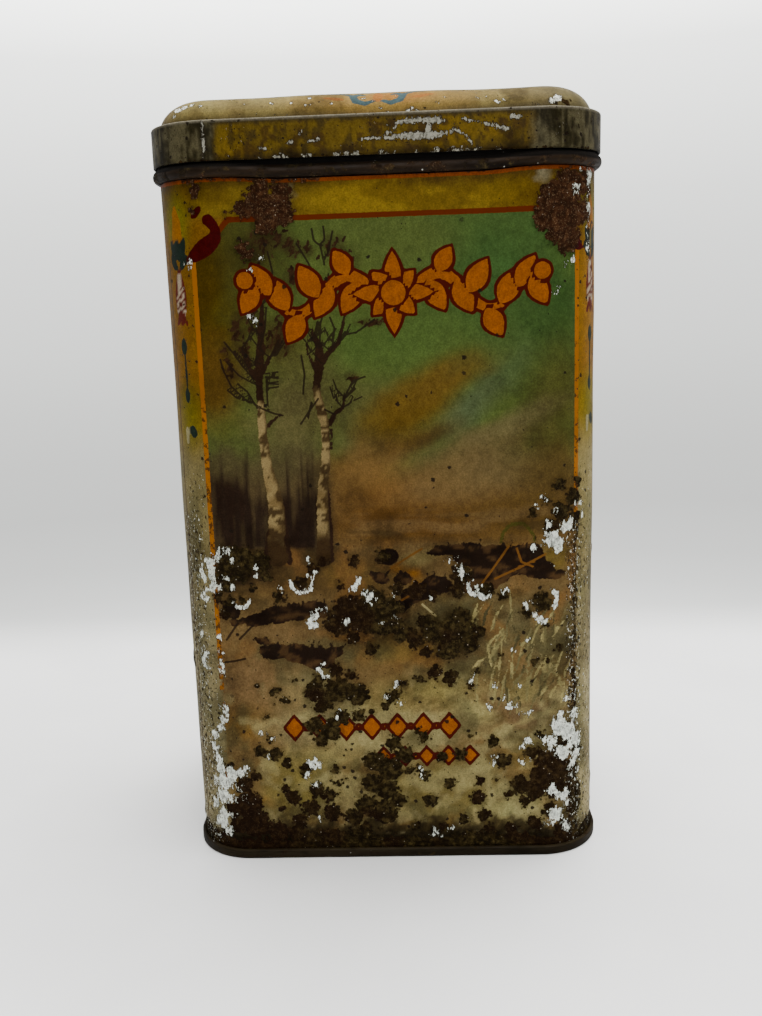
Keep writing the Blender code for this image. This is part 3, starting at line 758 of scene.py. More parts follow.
# Strips of the wall whose print is flecked off: how densely, the middle u, how far to either side of it the
# flecks begin and are at their densest, and the heights where they begin and are at their densest.
FLECK_STRIPS = (
    (0.92, 52.0, 5.6, 2.2, 106, 94),
    (0.85, 52.5, 6, 2, 60, 45),
    (0.84, 61, 9, 5, 112, 92),
    (0.90, -56, 8, 4, 128, 96),
    (0.95, 57.2, 2.6, 1.0, 160, 168),
    (0.80, -50.5, 4.0, 1.6, 92, 72),
    (0.60, 45, 7.0, 3.0, 160, 175),
    (0.85, -REAR, 6, 1, 130, 60),
    (0.85, REAR, 6, 1, 130, 60),
)


def strip_gap(u):
    """Distance from the ornament strips of the two front corners."""
    return np.abs(np.abs(u - 2.6) - 56.5)


def bare_rims(u, z, warped_u, warped_z):
    """Depth inside the bare rims round blisters, which are thickest in the middle of their arc."""
    bare = np.full(u.shape, -1e3)
    for rim_u, rim_z, radius, start, end in RIMS:
        turn = (np.degrees(np.arctan2(warped_z - rim_z, warped_u - rim_u)) - start) % 360
        middle = (end - start) / 2
        thick = 0.70 - 0.35 * np.abs(turn - middle) / middle
        ring = 2.0 * (thick - np.abs(np.hypot(u - rim_u, z - rim_z) - radius))
        bare = np.maximum(bare, np.where(turn < end - start, ring, -9.0))
    return bare


def scattered_wear():
    """Spots of rust and bare tin for the sides, the back and the rear corners."""
    rng = np.random.default_rng(SEED + 7)
    rust, bare = [], []
    for _ in range(170):
        place = (rng.uniform(-HALF_ROUND, HALF_ROUND), 5 + 110 * rng.random() ** 1.7)
        radius = 0.6 + 3.2 * rng.random() ** 2
        pale = (place[0] + rng.normal(0, 2), place[1] + rng.normal(0, 2), 0.3 + 1.6 * rng.random() ** 2)
        if abs(place[0]) > 62:
            rust.append((*place, radius))
            bare.append(pale if radius > 1.2 else (*place, 0.1))
    for corner in (-REAR, REAR):
        for _ in range(16):
            place = (corner + rng.normal(0, 2.6), 6 + 160 * rng.random() ** 2)
            rust.append((*place, 0.8 + 2.4 * rng.random()))
            bare.append((place[0] + rng.normal(0, 2), place[1] + rng.normal(0, 4), 0.4 + 1.8 * rng.random()))
    return rust, bare


def wear_fields(u, z):
    """Depth inside rust and bare tin in mm, and how densely the print is flecked."""
    wu = u + 1.3 * (fractal(u, z, 2.6, 61) - 0.5)
    wz = z + 1.3 * (fractal(u, z, 2.6, 62) - 0.5)
    front = np.abs(u) < FRONT + CORNER
    more_rust, more_bare = scattered_wear()
    foot = 7.2 - wz + 7.0 * (fractal(u, z, 6, 63) - 0.5)
    under_bead = wz - 188.3 + 1.6 * (fractal(u, z, 6, 64) - 0.5)
    dark_line = 0.75 - np.abs(wu - 52.3) + 2.2 * (fractal(u, z, 3.2, 66) - 0.5) - 3 * smooth(96, 101, z)
    rust = np.maximum(spots(wu, wz, RUST), spots(wu, wz, more_rust))
    for crust in (
        np.where(front, foot, foot - 1.5),
        np.where((u > -50) & (u < -14), under_bead, under_bead - 1.2),
        dark_line,
    ):
        rust = np.maximum(rust, crust)
    bare = np.maximum(spots(wu, wz, BARE), spots(wu, wz, more_bare))
    bare = np.maximum(bare, bare_rims(u, z, wu, wz))

    flecks = np.maximum(0.42 * smooth(95, 60, z), 0.36 * smooth(0.62, 0.74, fractal(u, z, 18, 65)))
    flecks = np.maximum(flecks, 0.78 * smooth(8.5, 4.0, strip_gap(u)) * smooth(150, 105, z))
    right = 0.66 * smooth(3.0, 1.0, np.abs(u - 45.5)) * smooth(98, 86, z) * smooth(28, 40, z)
    flecks = np.maximum(flecks, right)
    for density, middle, begin_u, full_u, begin_z, full_z in FLECK_STRIPS:
        strip = density * smooth(begin_u, full_u, np.abs(u - middle)) * smooth(begin_z, full_z, z)
        flecks = np.maximum(flecks, strip)
    return rust, bare, flecks


def paint_top_band(canvas, u, z):
    """The yellow band above the picture, worn darker in clouds and near the bead."""
    band = smooth(179, 180, z)
    worn = smooth(184.5, 189, z + 3 * (fractal(u, z, 8, 84) - 0.5))
    canvas.wash((0.132, 0.078, 0.0012), band)
    canvas.wash((0.165, 0.108, 0.008), band * smooth(-6, -18, u) * smooth(-50, -40, u))
    canvas.wash((0.205, 0.132, 0.008), 0.8 * band * smooth(-22, -10, u) * smooth(38, 22, u))
    canvas.wash((0.070, 0.036, 0.0012), 0.5 * band * smooth(0.50, 0.70, fractal(u, z * 1.4, 7, 81)))
    canvas.wash((0.040, 0.020, 0.003), 0.8 * band * worn * smooth(-8, 14, np.abs(u - 2)))
    ragged = 1.6 * (fractal(u, z, 1.5, 88) - 0.5)
    for stain in ((-22.6, 185.6), (42.8, 187.0)):
        canvas.glow((0.200, 0.180, 0.105), stain, (2.2, 1.9), 0.62, 0, ragged)


def grime_fields(u, z, rust):
    """How grimy the print is, how red its rust is, and how densely it is pitted, each from 0 to 1."""
    foot = z + 6 * (fractal(u, z, 5, 87) - 0.5) + 6 * (fractal(u, z, 1.5, 89) - 0.5)
    grime = 0.55 * smooth(0.50, 0.74, fractal(u, z, 15, 82)) * smooth(170, 100, z)
    for dirt in (
        0.35 * smooth(1.0, 0.1, -rust),
        0.85 * smooth(10, 5, foot),
        0.85 * smooth(11.5, 5, np.hypot((u - 16) * 0.75, z - 66)),
        0.85 * smooth(12.5, 5, np.hypot((u + 4) * 0.62, z - 71)),
        0.7 * smooth(9, 4, np.hypot(u + 6, (z - 20) * 0.6)),
    ):
        grime = np.maximum(grime, dirt)
    red = smooth(160, 172, z)
    for redder in (
        0.8 * smooth(24, 8, np.hypot(u + 40, z - 12)),
        0.6 * smooth(14, 5, np.hypot(u - 44, z - 24)),
        0.7 * smooth(0.5, 0.7, fractal(u, z, 12, 83)),
    ):
        red = np.maximum(red, redder)
    frame_gap = np.minimum(np.abs(u + 47.9), np.abs(u - 52.6))
    pits = 0.14 + 0.64 * smooth(110, 40, z)
    pits = np.maximum(pits, 0.95 * smooth(1.6, 0.8, frame_gap))
    pits = np.maximum(pits, 0.78 * smooth(6.5, 2.5, np.abs(np.abs(u - 2.6) - 55.0)))
    return grime, red, pits


def paint_body(u, z):
    """Everything that the body's print look needs, for points (u, z) of the wall."""
    front = np.abs(u) < FRONT + 0.9 * CORNER
    side = ~front & (np.abs(u) < FRONT + CORNER + SIDE + 0.3 * CORNER)
    side_u = np.abs(u) - FRONT - CORNER - SIDE / 2
    back_u = np.where(u < 0, u + HALF_ROUND, u - HALF_ROUND)
    picture_u = np.where(front, u, np.where(side, side_u * 0.9 + 14, back_u * 0.9 + 6))
    front_panel = panel_distance(u, z, PANEL_LEFT, PANEL_RIGHT)
    side_panel = panel_distance(side_u, z, -SIDE / 2 + 1.5, SIDE / 2 - 1.5)
    back_panel = panel_distance(back_u, z, -FRONT - 4.5, FRONT + 4.5)
    border = np.where(front, front_panel, np.where(side, side_panel, back_panel))

    canvas = Canvas(picture_u, z, (0.155, 0.072, 0.004))
    paint_border(canvas)
    border_rgb = canvas.rgb.copy()
    paint_land(canvas)
    ink, scenery, lines = Ink(u, z), Ink(picture_u, z), Lines(picture_u, z)
    draw_birches(scenery, lines, canvas)
    draw_brush(scenery, lines)
    scenery.distance = np.where(border > 0.2, FAR, scenery.distance)
    lines.distance = np.where(border > 0.2, FAR, lines.distance)

    draw_lozenge_rows(ink)
    draw_garland(ink)
    ink.distance = np.where(front, ink.distance, FAR)
    ring = (np.abs(np.hypot(back_u / 24, (z - 150) / 15) - 0.9) - 0.1) * 16
    star = (np.hypot(back_u, z - 150) - 6.2 - 2.6 * np.cos(8 * np.arctan2(z - 150, back_u))) * 0.6
    ink.add(np.where(front | side, FAR, np.minimum(ring, star)), ORANGE, 1.0)

    outside = smooth(-0.2, 0.2, border)[:, None]
    canvas.rgb = canvas.rgb * (1 - outside) + border_rgb * outside
    canvas.u = u
    paint_top_band(canvas, u, z)
    for centre in (*STRIP_CENTRES, -REAR, REAR):
        draw_strip_ornament(ink, canvas, centre)
    draw_corner_scroll(ink, PANEL_LEFT, 1)
    draw_corner_scroll(ink, PANEL_RIGHT, -1)
    ink.add(np.abs(z - 188.9) - 0.75, (0.170, 0.036, 0.002))
    edge_line = np.where(front & (z <= 172), np.abs(np.abs(u - 2.6) - 60.6) - 0.35, FAR)
    ink.add(edge_line, (0.075, 0.040, 0.008))
    patchy = 1 + 0.16 * (fractal(u, z, 5, 85) - 0.5) + 0.12 * (fractal(u, z, 1.6, 86, 2) - 0.5)
    canvas.rgb *= patchy[:, None]

    rust, bare, flecks = wear_fields(u, z)
    return {
        "paint": opaque(canvas.rgb),
        "scenery_ink": scenery.rgba,
        "emblem_ink": ink.rgba,
        "marks": np.column_stack([scenery.distance, ink.distance, border]),
        "lines": np.column_stack([lines.offset, lines.distance, lines.tone]),
        "wear": np.column_stack([rust, bare, flecks]),
        "tone": np.column_stack(grime_fields(u, z, rust)),
    }


# ---------------------------------------------------------------- meshes swept round the tin


def around(u, s):
    """x, y and the outward normal at distance u round the wall, s outside it."""
    a = np.abs(u)
    side = np.where(u < 0, -1.0, 1.0)
    first = np.clip((a - FRONT) / RADIUS, 0, math.pi / 2)
    along = np.clip(a - FRONT - CORNER, 0, SIDE)
    second = np.clip((a - FRONT - CORNER - SIDE) / RADIUS, 0, math.pi / 2)
    back = np.clip(a - FRONT - 2 * CORNER - SIDE, 0, None)
    turn = first + second
    x = np.minimum(a, FRONT) - back + (RADIUS + s) * np.sin(turn)
    y = along - SIDE / 2 - (RADIUS + s) * np.cos(turn)
    return side * x, y, side * np.sin(turn), -np.cos(turn)


def columns(front_step, corner_step, rest_step):
    """Distances round the wall, closer together where the step is finer, without the repeated last one."""
    marks = [0.0]
    for length, step in (
        (FRONT, front_step), (CORNER, corner_step),
        (SIDE, rest_step), (CORNER, rest_step), (FRONT, rest_step),
    ):
        count = max(1, round(length / step))
        start = marks[-1]
        marks += [start + length * (k + 1) / count for k in range(count)]
    right = np.array(marks)
    return np.concatenate([-right[:0:-1], right[:-1]])


def arc(centre, radius, start, end, steps):
    """Points on an arc of the section plane, from one angle to the other in degrees, 0 being outwards."""
    points = []
    for step in range(steps + 1):
        angle = math.radians(start + (end - start) * step / steps)
        points.append((centre[0] + radius * math.cos(angle), centre[1] + radius * math.sin(angle)))
    return points


def sheet_outline(path):
    """Both sides of a sheet that follows the path: the left side forwards, the right side back."""
    points = np.array(path, float)
    spans = np.diff(points, axis=0)
    spans /= np.linalg.norm(spans, axis=1)[:, None]
    normals = np.stack([-spans[:, 1], spans[:, 0]], axis=1)
    first = np.vstack([normals[:1], normals])
    across = first + np.vstack([normals, normals[-1:]])
    across /= np.linalg.norm(across, axis=1)[:, None]
    reach = SHEET / 2 / np.sum(across * first, axis=1)[:, None]
    return np.vstack([points + across * reach, (points - across * reach)[::-1]])


def densify(points, longest, closed=False):
    """The same outline with no span longer than that."""
    ends = list(points[1:]) + ([points[0]] if closed else [])
    made = []
    for start, end in zip(points, ends):
        start, end = np.array(start, float), np.array(end, float)
        count = max(1, math.ceil(np.linalg.norm(end - start) / longest))
        made += [start + (end - start) * k / count for k in range(count)]
    if not closed:
        made.append(np.array(points[-1], float))
    return np.array(made)


class Sweep:
    """A closed cross-section swept round the tin: vertex (row, column), rows going round the section."""

    def __init__(self, name, outline, us, scales=None, capped=False):
        self.name, self.us, self.capped = name, us, capped
        self.outline = np.array(outline, float)
        scales = np.ones(len(self.outline)) if scales is None else np.array(scales, float)
        rows, cols = len(self.outline), len(us)
        self.rows, self.cols = rows, cols
        self.u = np.tile(us, rows)
        self.s = np.repeat(self.outline[:, 0], cols)
        self.z = np.repeat(self.outline[:, 1], cols)
        self.scale = np.repeat(scales, cols)
        self.push = np.zeros(rows * cols)
        self.lift = np.zeros(rows * cols)

    def places(self):
        x, y, normal_x, normal_y = around(self.u, self.s)
        x, y = (x + normal_x * self.push) * self.scale, (y + normal_y * self.push) * self.scale
        return np.stack([x, y, self.z + self.lift], axis=1)

    def build(self, body, replaced, slot, looks, face_look=None, row_share=None):
        """Makes the object. face_look(row) is the index in looks for the faces between a row and the next."""
        rows, cols = self.rows, self.cols
        spans = rows - 1 if self.capped else rows
        corner = np.arange(cols)
        following = (corner + 1) % cols
        quads = []
        for row in range(spans):
            above = (row + 1) % rows
            quads.append(np.stack([
                row * cols + corner, row * cols + following, above * cols + following, above * cols + corner,
            ], axis=1))
        quads = np.concatenate(quads)
        faces = quads.tolist()
        points = self.places()
        if self.capped:
            faces.append(list(range(cols))[::-1])
            faces.append([(rows - 1) * cols + k for k in range(cols)])
        mesh = bpy.data.meshes.new(self.name)
        mesh.from_pydata((points * MM).tolist(), [], faces)
        share = np.linspace(0, 1, spans + 1) if row_share is None else row_share
        width = np.linspace(0, 1, cols + 1)
        uv = np.zeros((len(mesh.loops), 2))
        face_row = np.repeat(np.arange(spans), cols)
        face_col = np.tile(corner, spans)
        grid = np.zeros((len(quads), 4, 2))
        for k, (step_row, step_col) in enumerate(((0, 0), (0, 1), (1, 1), (1, 0))):
            grid[:, k, 0] = width[face_col + step_col]
            grid[:, k, 1] = share[face_row + step_row]
        uv[: 4 * len(quads)] = grid.reshape(-1, 2)
        layer = mesh.uv_layers.new(name="OFBake")
        layer.data.foreach_set("uv", uv.ravel())
        if face_look is not None:
            index = np.array([face_look(row) for row in range(spans)])
            per_face = np.zeros(len(mesh.polygons), int)
            per_face[: len(quads)] = index[face_row]
            mesh.polygons.foreach_set("material_index", per_face)
        for look in looks:
            mesh.materials.append(look)
        mesh.validate()
        mesh.shade_smooth()
        mesh.set_sharp_from_angle(angle=math.radians(38))
        piece = bpy.data.objects.new(self.name, mesh)
        bpy.context.scene.collection.objects.link(piece)
        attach(piece, body)
        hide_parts(replaced)
        return piece


def capped_sweep(name, first, last, us, first_rings, last_rings):
    """A plate all the way across: two outlines joined at their rims, each closed by rings scaled inwards."""
    ends = np.tile(first[0], (len(first_rings), 1)), np.tile(last[-1], (len(last_rings), 1))
    scales = first_rings[::-1] + [1.0] * (len(first) + len(last)) + last_rings
    return Sweep(name, np.vstack([ends[0], first, last, ends[1]]), us, scales, capped=True)


def store_print(piece, fields):
    """Stores what a print look reads, per vertex, with no ink or lines where the fields leave them out."""
    count = len(piece.data.vertices)
    blank = {
        "scenery_ink": np.zeros((count, 4)),
        "emblem_ink": np.zeros((count, 4)),
        "marks": np.full((count, 3), FAR),
        "lines": np.tile((9.0, FAR, 0.0), (count, 1)),
    }
    kinds = {3: ("FLOAT_VECTOR", "vector"), 4: ("FLOAT_COLOR", "color")}
    for name, values in {**blank, **fields}.items():
        kind, field = kinds[values.shape[1]]
        layer = piece.data.attributes.new(name, kind, "POINT")
        layer.data.foreach_set(field, values.ravel())


# ---------------------------------------------------------------- materials


class Graph:
    """Short calls that add shader nodes to a node tree. A value is a number, a colour or another socket."""

    def __init__(self, owner):
        owner.use_nodes = True
        self.tree = owner.node_tree

    def put(self, socket, value):
        if isinstance(value, bpy.types.NodeSocket):
            self.tree.links.new(value, socket)
        elif isinstance(value, tuple) and len(value) == 3 and socket.type == "RGBA":
            socket.default_value = (*value, 1.0)
        else:
            socket.default_value = value

    def node(self, kind, inputs, **settings):
        """A new node of that kind, with its settings and then its inputs."""
        made = self.tree.nodes.new("ShaderNode" + kind)
        for name, value in settings.items():
            setattr(made, name, value)
        for socket, value in inputs.items():
            self.put(made.inputs[socket], value)
        return made

    def math(self, operation, a, b=0.5, c=0.0, clamp=False):
        return self.node("Math", {0: a, 1: b, 2: c}, operation=operation, use_clamp=clamp).outputs[0]

    def times(self, a, b):
        return self.math("MULTIPLY", a, b)

    def plus(self, a, b):
        return self.math("ADD", a, b)

    def minus(self, a, b):
        return self.math("SUBTRACT", a, b)

    def most(self, a, b):
        return self.math("MAXIMUM", a, b)

    def step(self, value, low, high, out_low=0.0, out_high=1.0):
        """out_low to out_high as value goes smoothly from low to high."""
        inputs = dict(enumerate((value, low, high, out_low, out_high)))
        return self.node("MapRange", inputs, interpolation_type="SMOOTHSTEP").outputs[0]

    def mix(self, factor, a, b, blend="MIX"):
        """Colour a at factor 0 to colour b at factor 1."""
        return self.node("Mix", {0: factor, 6: a, 7: b}, data_type="RGBA", blend_type=blend).outputs[2]

    def tint(self, a, b):
        return self.mix(1.0, a, b, "MULTIPLY")

    def mix_numbers(self, factor, a, b):
        return self.node("Mix", {0: factor, 2: a, 3: b}, data_type="FLOAT").outputs[0]

    def scaled(self, vector, scale):
        return self.node("VectorMath", {0: vector, "Scale": scale}, operation="SCALE").outputs[0]

    def parts(self, vector):
        return self.node("SeparateXYZ", {0: vector}).outputs


class Look(Graph):
    """The graph of one new material, with the noises and attributes that the looks here share."""

    def __init__(self, name):
        self.material = bpy.data.materials.new(name)
        super().__init__(self.material)
        self.shader = self.tree.nodes["Principled BSDF"]
        self.mm = self.scaled(self.node("TexCoord", {}).outputs["Object"], 1 / MM)
        self.height = self.parts(self.mm)[2]

    def set(self, socket, value):
        self.put(self.shader.inputs[socket], value)

    def colour_of(self, name):
        return self.node("Attribute", {}, attribute_name=name).outputs["Color"]

    def split(self, name):
        """The three numbers of a vector attribute."""
        return self.parts(self.node("Attribute", {}, attribute_name=name).outputs["Vector"])

    def shifted(self, place, shift):
        return self.node("VectorMath", {0: place, 1: shift}, operation="ADD").outputs[0]

    def noise(self, size, detail=3.0, roughness=0.55, stretch=None, seed=0.0):
        """Noise of features about size mm across; stretch lengthens them along x, y and z."""
        place = self.mm
        if stretch:
            place = self.node("VectorMath", {0: place, 1: stretch}, operation="DIVIDE").outputs[0]
        place = self.shifted(place, (17.3 * seed, 5.1 * seed, -9.7 * seed))
        inputs = {"Vector": place, "Scale": 1.0 / size, "Detail": detail, "Roughness": roughness}
        return self.node("TexNoise", inputs).outputs["Fac"]

    def dots(self, pitch, seed=0.0):
        """Distance in mm to scattered points about pitch mm apart, and two random numbers for each."""
        place = self.shifted(self.mm, (7.7 * seed, 3.9 * seed, 11.1 * seed))
        cells = self.node("TexVoronoi", {"Vector": place, "Scale": 1.0 / pitch})
        chance = self.parts(cells.outputs["Color"])
        return self.times(cells.outputs["Distance"], pitch), chance[0], chance[1]

    def bump(self, height, distance, strength):
        inputs = {"Height": height, "Distance": distance, "Strength": strength}
        return self.node("Bump", inputs).outputs["Normal"]


def rust_colour(g, tone):
    """Rust as a lumpy crust with pale grains: olive brown, or redder and more fibrous where tone is 1."""
    gap, pick, other = g.dots(1.5, 1)
    lumps = g.noise(1.5, 4.0, 0.68, seed=2)
    grain = g.noise(0.42, 4.0, 0.75, seed=1)
    middle = g.step(g.plus(gap, g.step(grain, 0.3, 0.7, 0.4, -0.4)), 0.80, 0.05)
    middle = g.times(middle, g.step(pick, 0.1, 0.9, 0.1, 1.0))
    middle = g.times(g.plus(middle, g.step(lumps, 0.40, 0.66)), 0.6)
    lit = g.step(g.height, 110.0, 165.0, 0.30, 1.0)
    dark_red = g.mix(lit, (0.0050, 0.0018, 0.0006), (0.016, 0.0062, 0.0022))
    dark = g.mix(tone, (0.0058, 0.0036, 0.0010), dark_red)
    brown = g.mix(g.step(other, 0.2, 0.8), (0.030, 0.020, 0.0055), (0.060, 0.042, 0.0125))
    red = g.mix(g.step(other, 0.2, 0.8), (0.040, 0.014, 0.0050), (0.078, 0.032, 0.0125))
    body = g.mix(middle, dark, g.mix(tone, brown, g.tint(red, lit)))
    strength = g.times(tone, g.step(g.height, 110.0, 165.0, 0.03, 0.42))
    pale = g.times(g.step(grain, 0.55, 0.66), g.plus(strength, 0.07))
    body = g.mix(pale, body, (0.24, 0.155, 0.085))
    spark_gap, spark_pick, _ = g.dots(0.8, 3)
    spark = g.times(g.step(spark_gap, 0.17, 0.09), g.step(spark_pick, 0.91, 0.94))
    return g.mix(spark, body, (0.34, 0.30, 0.23)), middle


def frame_line(g, colour, border, rag):
    """The line round the picture, red above and orange below, broken up and worn off on the lower right."""
    line = g.step(g.math("ABSOLUTE", g.plus(border, g.times(rag, 0.3))), 0.78, 0.66)
    line = g.times(line, g.step(g.height, 8.0, 10.0))
    across, deep, _ = g.parts(g.mm)
    right = g.times(g.step(across, 20.0, 22.0), g.step(deep, -35.0, -37.0))
    line = g.times(line, g.minus(1.0, g.times(right, g.step(g.height, 101.0, 95.0))))
    flaked = g.plus(g.step(g.height, 20.0, 125.0, -0.12, 0.22), g.noise(4.5, 4.0, 0.7, seed=18))
    broken = g.plus(g.noise(1.7, 4.0, 0.7, seed=19), g.step(g.height, 100.0, 175.0, 0.02, -0.14))
    tone = g.mix(g.step(g.height, 168.0, 177.0), ORANGE_LINE, RED_LINE)
    tone = g.mix(g.times(g.step(broken, 0.53, 0.57), 0.85), tone, (0.030, 0.014, 0.004))
    return g.mix(g.times(line, g.step(flaked, 0.44, 0.47)), colour, tone)


def inked_print(g):
    """The print as new: the washes, the scenery and its thin lines, the frame's line and the ornament."""
    stipple = g.step(g.noise(0.38, 2.0, 0.6, seed=4), 0.30, 0.72, 0.68, 1.02)
    mottle = g.step(g.noise(3.6, 4.0, 0.6, seed=5), 0.25, 0.75, 0.88, 1.12)
    scuff = g.step(g.noise(1.1, 4.0, 0.72, stretch=(1.0, 1.0, 1.4), seed=25), 0.30, 0.70, 0.84, 1.14)
    mottle = g.times(mottle, scuff)
    colour = g.tint(g.colour_of("paint"), g.times(stipple, mottle))

    scenery, emblem, border = g.split("marks")
    rag = g.step(g.noise(0.9, 3.0, 0.6, seed=6), 0.3, 0.7, -0.18, 0.18)
    scenery_ink = g.tint(g.colour_of("scenery_ink"), stipple)
    colour = g.mix(g.step(g.plus(scenery, rag), 0.10, -0.10), colour, scenery_ink)

    offset, distance, tone = g.split("lines")
    thin = g.step(g.math("ABSOLUTE", g.plus(offset, rag)), 1.25, 0.8)
    thin = g.times(thin, g.step(distance, 0.70, 0.50))
    tone_colour = g.mix(g.step(tone, 0.5, 0.7), (0.13, 0.052, 0.007), (0.30, 0.25, 0.11))
    tone_colour = g.mix(g.step(tone, 0.1, 0.3), (0.014, 0.008, 0.004), tone_colour)
    colour = g.mix(g.times(thin, 0.9), colour, tone_colour)
    colour = frame_line(g, colour, border, rag)

    inked = g.node("Attribute", {}, attribute_name="emblem_ink")
    edge = g.plus(emblem, g.times(rag, 0.35))
    rim = g.times(g.step(edge, -0.90, -0.76), inked.outputs["Alpha"])
    fill = g.mix(rim, g.tint(inked.outputs["Color"], g.times(stipple, mottle)), DARK_RED)
    return g.mix(g.step(edge, 0.07, -0.07), colour, fill)


def pitted(g, colour, pits):
    """Fly specks: dark dots of two sizes, as dense as pits says, and where they are."""
    gap, pick, other = g.dots(2.2, 8)
    wobble = g.step(g.noise(0.5, 2.0, 0.6, seed=9), 0.2, 0.8, -0.2, 0.2)
    size = g.math("MULTIPLY_ADD", other, 0.42, 0.14)
    pit = g.step(g.plus(g.minus(gap, size), wobble), 0.06, -0.06)
    pit = g.times(pit, g.step(g.math("MULTIPLY_ADD", pits, 0.55, pick), 1.0, 1.02))
    fine_gap, fine_pick, _ = g.dots(1.0, 12)
    chosen = g.step(g.math("MULTIPLY_ADD", pits, 0.2, fine_pick), 1.0, 1.02)
    pit = g.most(pit, g.times(g.step(fine_gap, 0.20, 0.12), chosen))
    return g.mix(g.times(pit, 0.92), colour, (0.010, 0.0065, 0.0035)), pit


def print_look(name, roughness=0.40, white=BARE_WHITE, tear=1.35, reach=1.0):
    """The varnished litho print with its wear, driven by the attributes that the painters store.

    white is the colour of the bare places, tear the size of their ragged edge and reach its depth.
    """
    g = Look(name)
    colour = inked_print(g)
    rust, bare, flecks = g.split("wear")
    grime, rust_tone, pits = g.split("tone")
    patches = g.step(g.noise(1.6, 4.0, 0.65, seed=7), 0.32, 0.6, 0.55, 1.1)
    grime = g.math("MULTIPLY", grime, patches, clamp=True)
    colour = g.mix(grime, colour, g.tint(colour, (0.22, 0.19, 0.12)))
    colour, pit = pitted(g, colour, pits)

    dark_noise = g.noise(0.80, 4.0, 0.72, stretch=(1.0, 1.0, 1.6), seed=10)
    pale_noise = g.noise(0.70, 4.0, 0.74, stretch=(1.0, 1.0, 1.5), seed=11)
    dark_fleck = g.step(g.math("MULTIPLY_ADD", flecks, 0.40, dark_noise), 0.90, 0.93)
    pale_fleck = g.step(g.math("MULTIPLY_ADD", flecks, 0.40, pale_noise), 0.96, 0.99)
    colour = g.mix(dark_fleck, colour, (0.016, 0.011, 0.006))

    lobe_gap, _, _ = g.dots(1.35, 13)
    ragged = g.step(g.noise(0.55, 4.0, 0.7, seed=14), 0.28, 0.72, -0.38, 0.38)
    rust_edge = g.plus(rust, g.plus(g.math("MULTIPLY_ADD", lobe_gap, -1.5, 0.75), ragged))
    rusted = g.step(rust_edge, -0.06, 0.10)
    halo = g.times(g.step(rust_edge, -0.35, 0.0), 0.6)
    colour = g.mix(halo, colour, g.tint(colour, (0.30, 0.26, 0.18)))
    rust_body, rust_middle = rust_colour(g, rust_tone)
    colour = g.mix(rusted, colour, rust_body)

    torn = g.noise(tear, 4.0, 0.64, stretch=(1.0, 1.0, 1.7), seed=15)
    torn = g.step(torn, 0.30, 0.70, -1.05 * reach, 0.80 * reach)
    holes = g.noise(0.42, 3.0, 0.7, stretch=(1.0, 1.0, 2.2), seed=20)
    holes = g.step(holes, 0.30, 0.70, -0.55 * reach, 0.55 * reach)
    bare_edge = g.plus(bare, g.plus(torn, holes))
    bared = g.most(g.step(bare_edge, 0.0, 0.08), pale_fleck)
    brim = g.times(g.step(bare_edge, -0.40, -0.12), 0.85)
    colour = g.mix(brim, colour, (0.016, 0.012, 0.007))
    cloud = g.step(g.noise(1.3, 4.0, 0.7, seed=16), 0.36, 0.52)
    shown = g.mix(cloud, tuple(0.44 * c for c in white), white)
    inner = g.times(g.step(bare_edge, 0.45, 1.15), g.step(holes, -0.25, 0.25, 0.75, 0.15))
    shown = g.mix(inner, shown, tuple(0.30 * c for c in white))
    speck = g.noise(0.60, 4.0, 0.76, stretch=(1.0, 1.0, 1.5), seed=26)
    shown = g.mix(g.step(speck, 0.565, 0.60, 0.0, 0.82), shown, (0.034, 0.028, 0.018))
    g.set("Base Color", g.mix(bared, colour, shown))

    rough = g.mix_numbers(g.most(rusted, dark_fleck), roughness, 0.9)
    rough = g.plus(rough, g.step(g.noise(1.8, 3.0, 0.6, seed=17), 0.3, 0.7, -0.05, 0.08))
    g.set("Roughness", g.mix_numbers(bared, rough, 0.55))
    g.set("Specular IOR Level", 0.05)
    relief = g.times(rusted, g.math("MULTIPLY_ADD", rust_middle, 0.7, 0.3))
    relief = g.minus(g.minus(relief, g.times(pit, 0.6)), g.times(bared, 0.35))
    g.set("Normal", g.bump(relief, 0.18 * MM, 0.9))
    return g.material


def metal_look(name, base, dark, roughness, metallic, rust_amount, streak=None, soot_and_shade=None, gloss=0.5):
    """Old bare tinplate: tarnish clouds, streaks, pits, some rust, and black painted shade between two
    heights.
    """
    g = Look(name)
    clouds = g.noise(5.0, 4.0, 0.6, stretch=streak, seed=21)
    fine = g.noise(0.7, 4.0, 0.7, stretch=streak, seed=22)
    colour = g.mix(g.step(clouds, 0.3, 0.68), dark, base)
    colour = g.mix(g.step(fine, 0.50, 0.72, 0.0, 0.6), colour, dark)
    rusted = g.step(g.plus(g.noise(3.4, 5.0, 0.65, seed=23), rust_amount), 0.60, 0.68)
    body, grain = rust_colour(g, g.step(clouds, 0.4, 0.7))
    colour = g.mix(rusted, colour, body)
    gap, pick, _ = g.dots(1.7, 24)
    glint = g.times(g.step(gap, 0.24, 0.14), g.step(pick, 0.90, 0.93))
    colour = g.mix(glint, colour, (0.5, 0.5, 0.44))
    # Painted shade: near-black, rough and not metallic between the two heights, where the lid's skirt shades
    # the neck.
    if soot_and_shade:
        low, high = soot_and_shade
        height = g.plus(g.height, g.step(clouds, 0.3, 0.7, -0.5, 0.5))
        painted_shade = g.times(g.step(height, low, low + 0.6), g.step(height, high + 1.6, high))
        colour = g.mix(g.times(painted_shade, 0.92), colour, (0.003, 0.0025, 0.002))
        rusted = g.most(rusted, painted_shade)
    g.set("Base Color", colour)
    g.set("Specular IOR Level", gloss)
    g.set("Metallic", g.times(g.minus(1.0, rusted), metallic))
    g.set("Roughness", g.mix_numbers(rusted, g.step(fine, 0.3, 0.7, roughness, roughness + 0.2), 0.85))
    g.set("Normal", g.bump(g.plus(fine, g.times(rusted, grain)), 0.05 * MM, 0.6))
    return g.material


# ---------------------------------------------------------------- the pieces


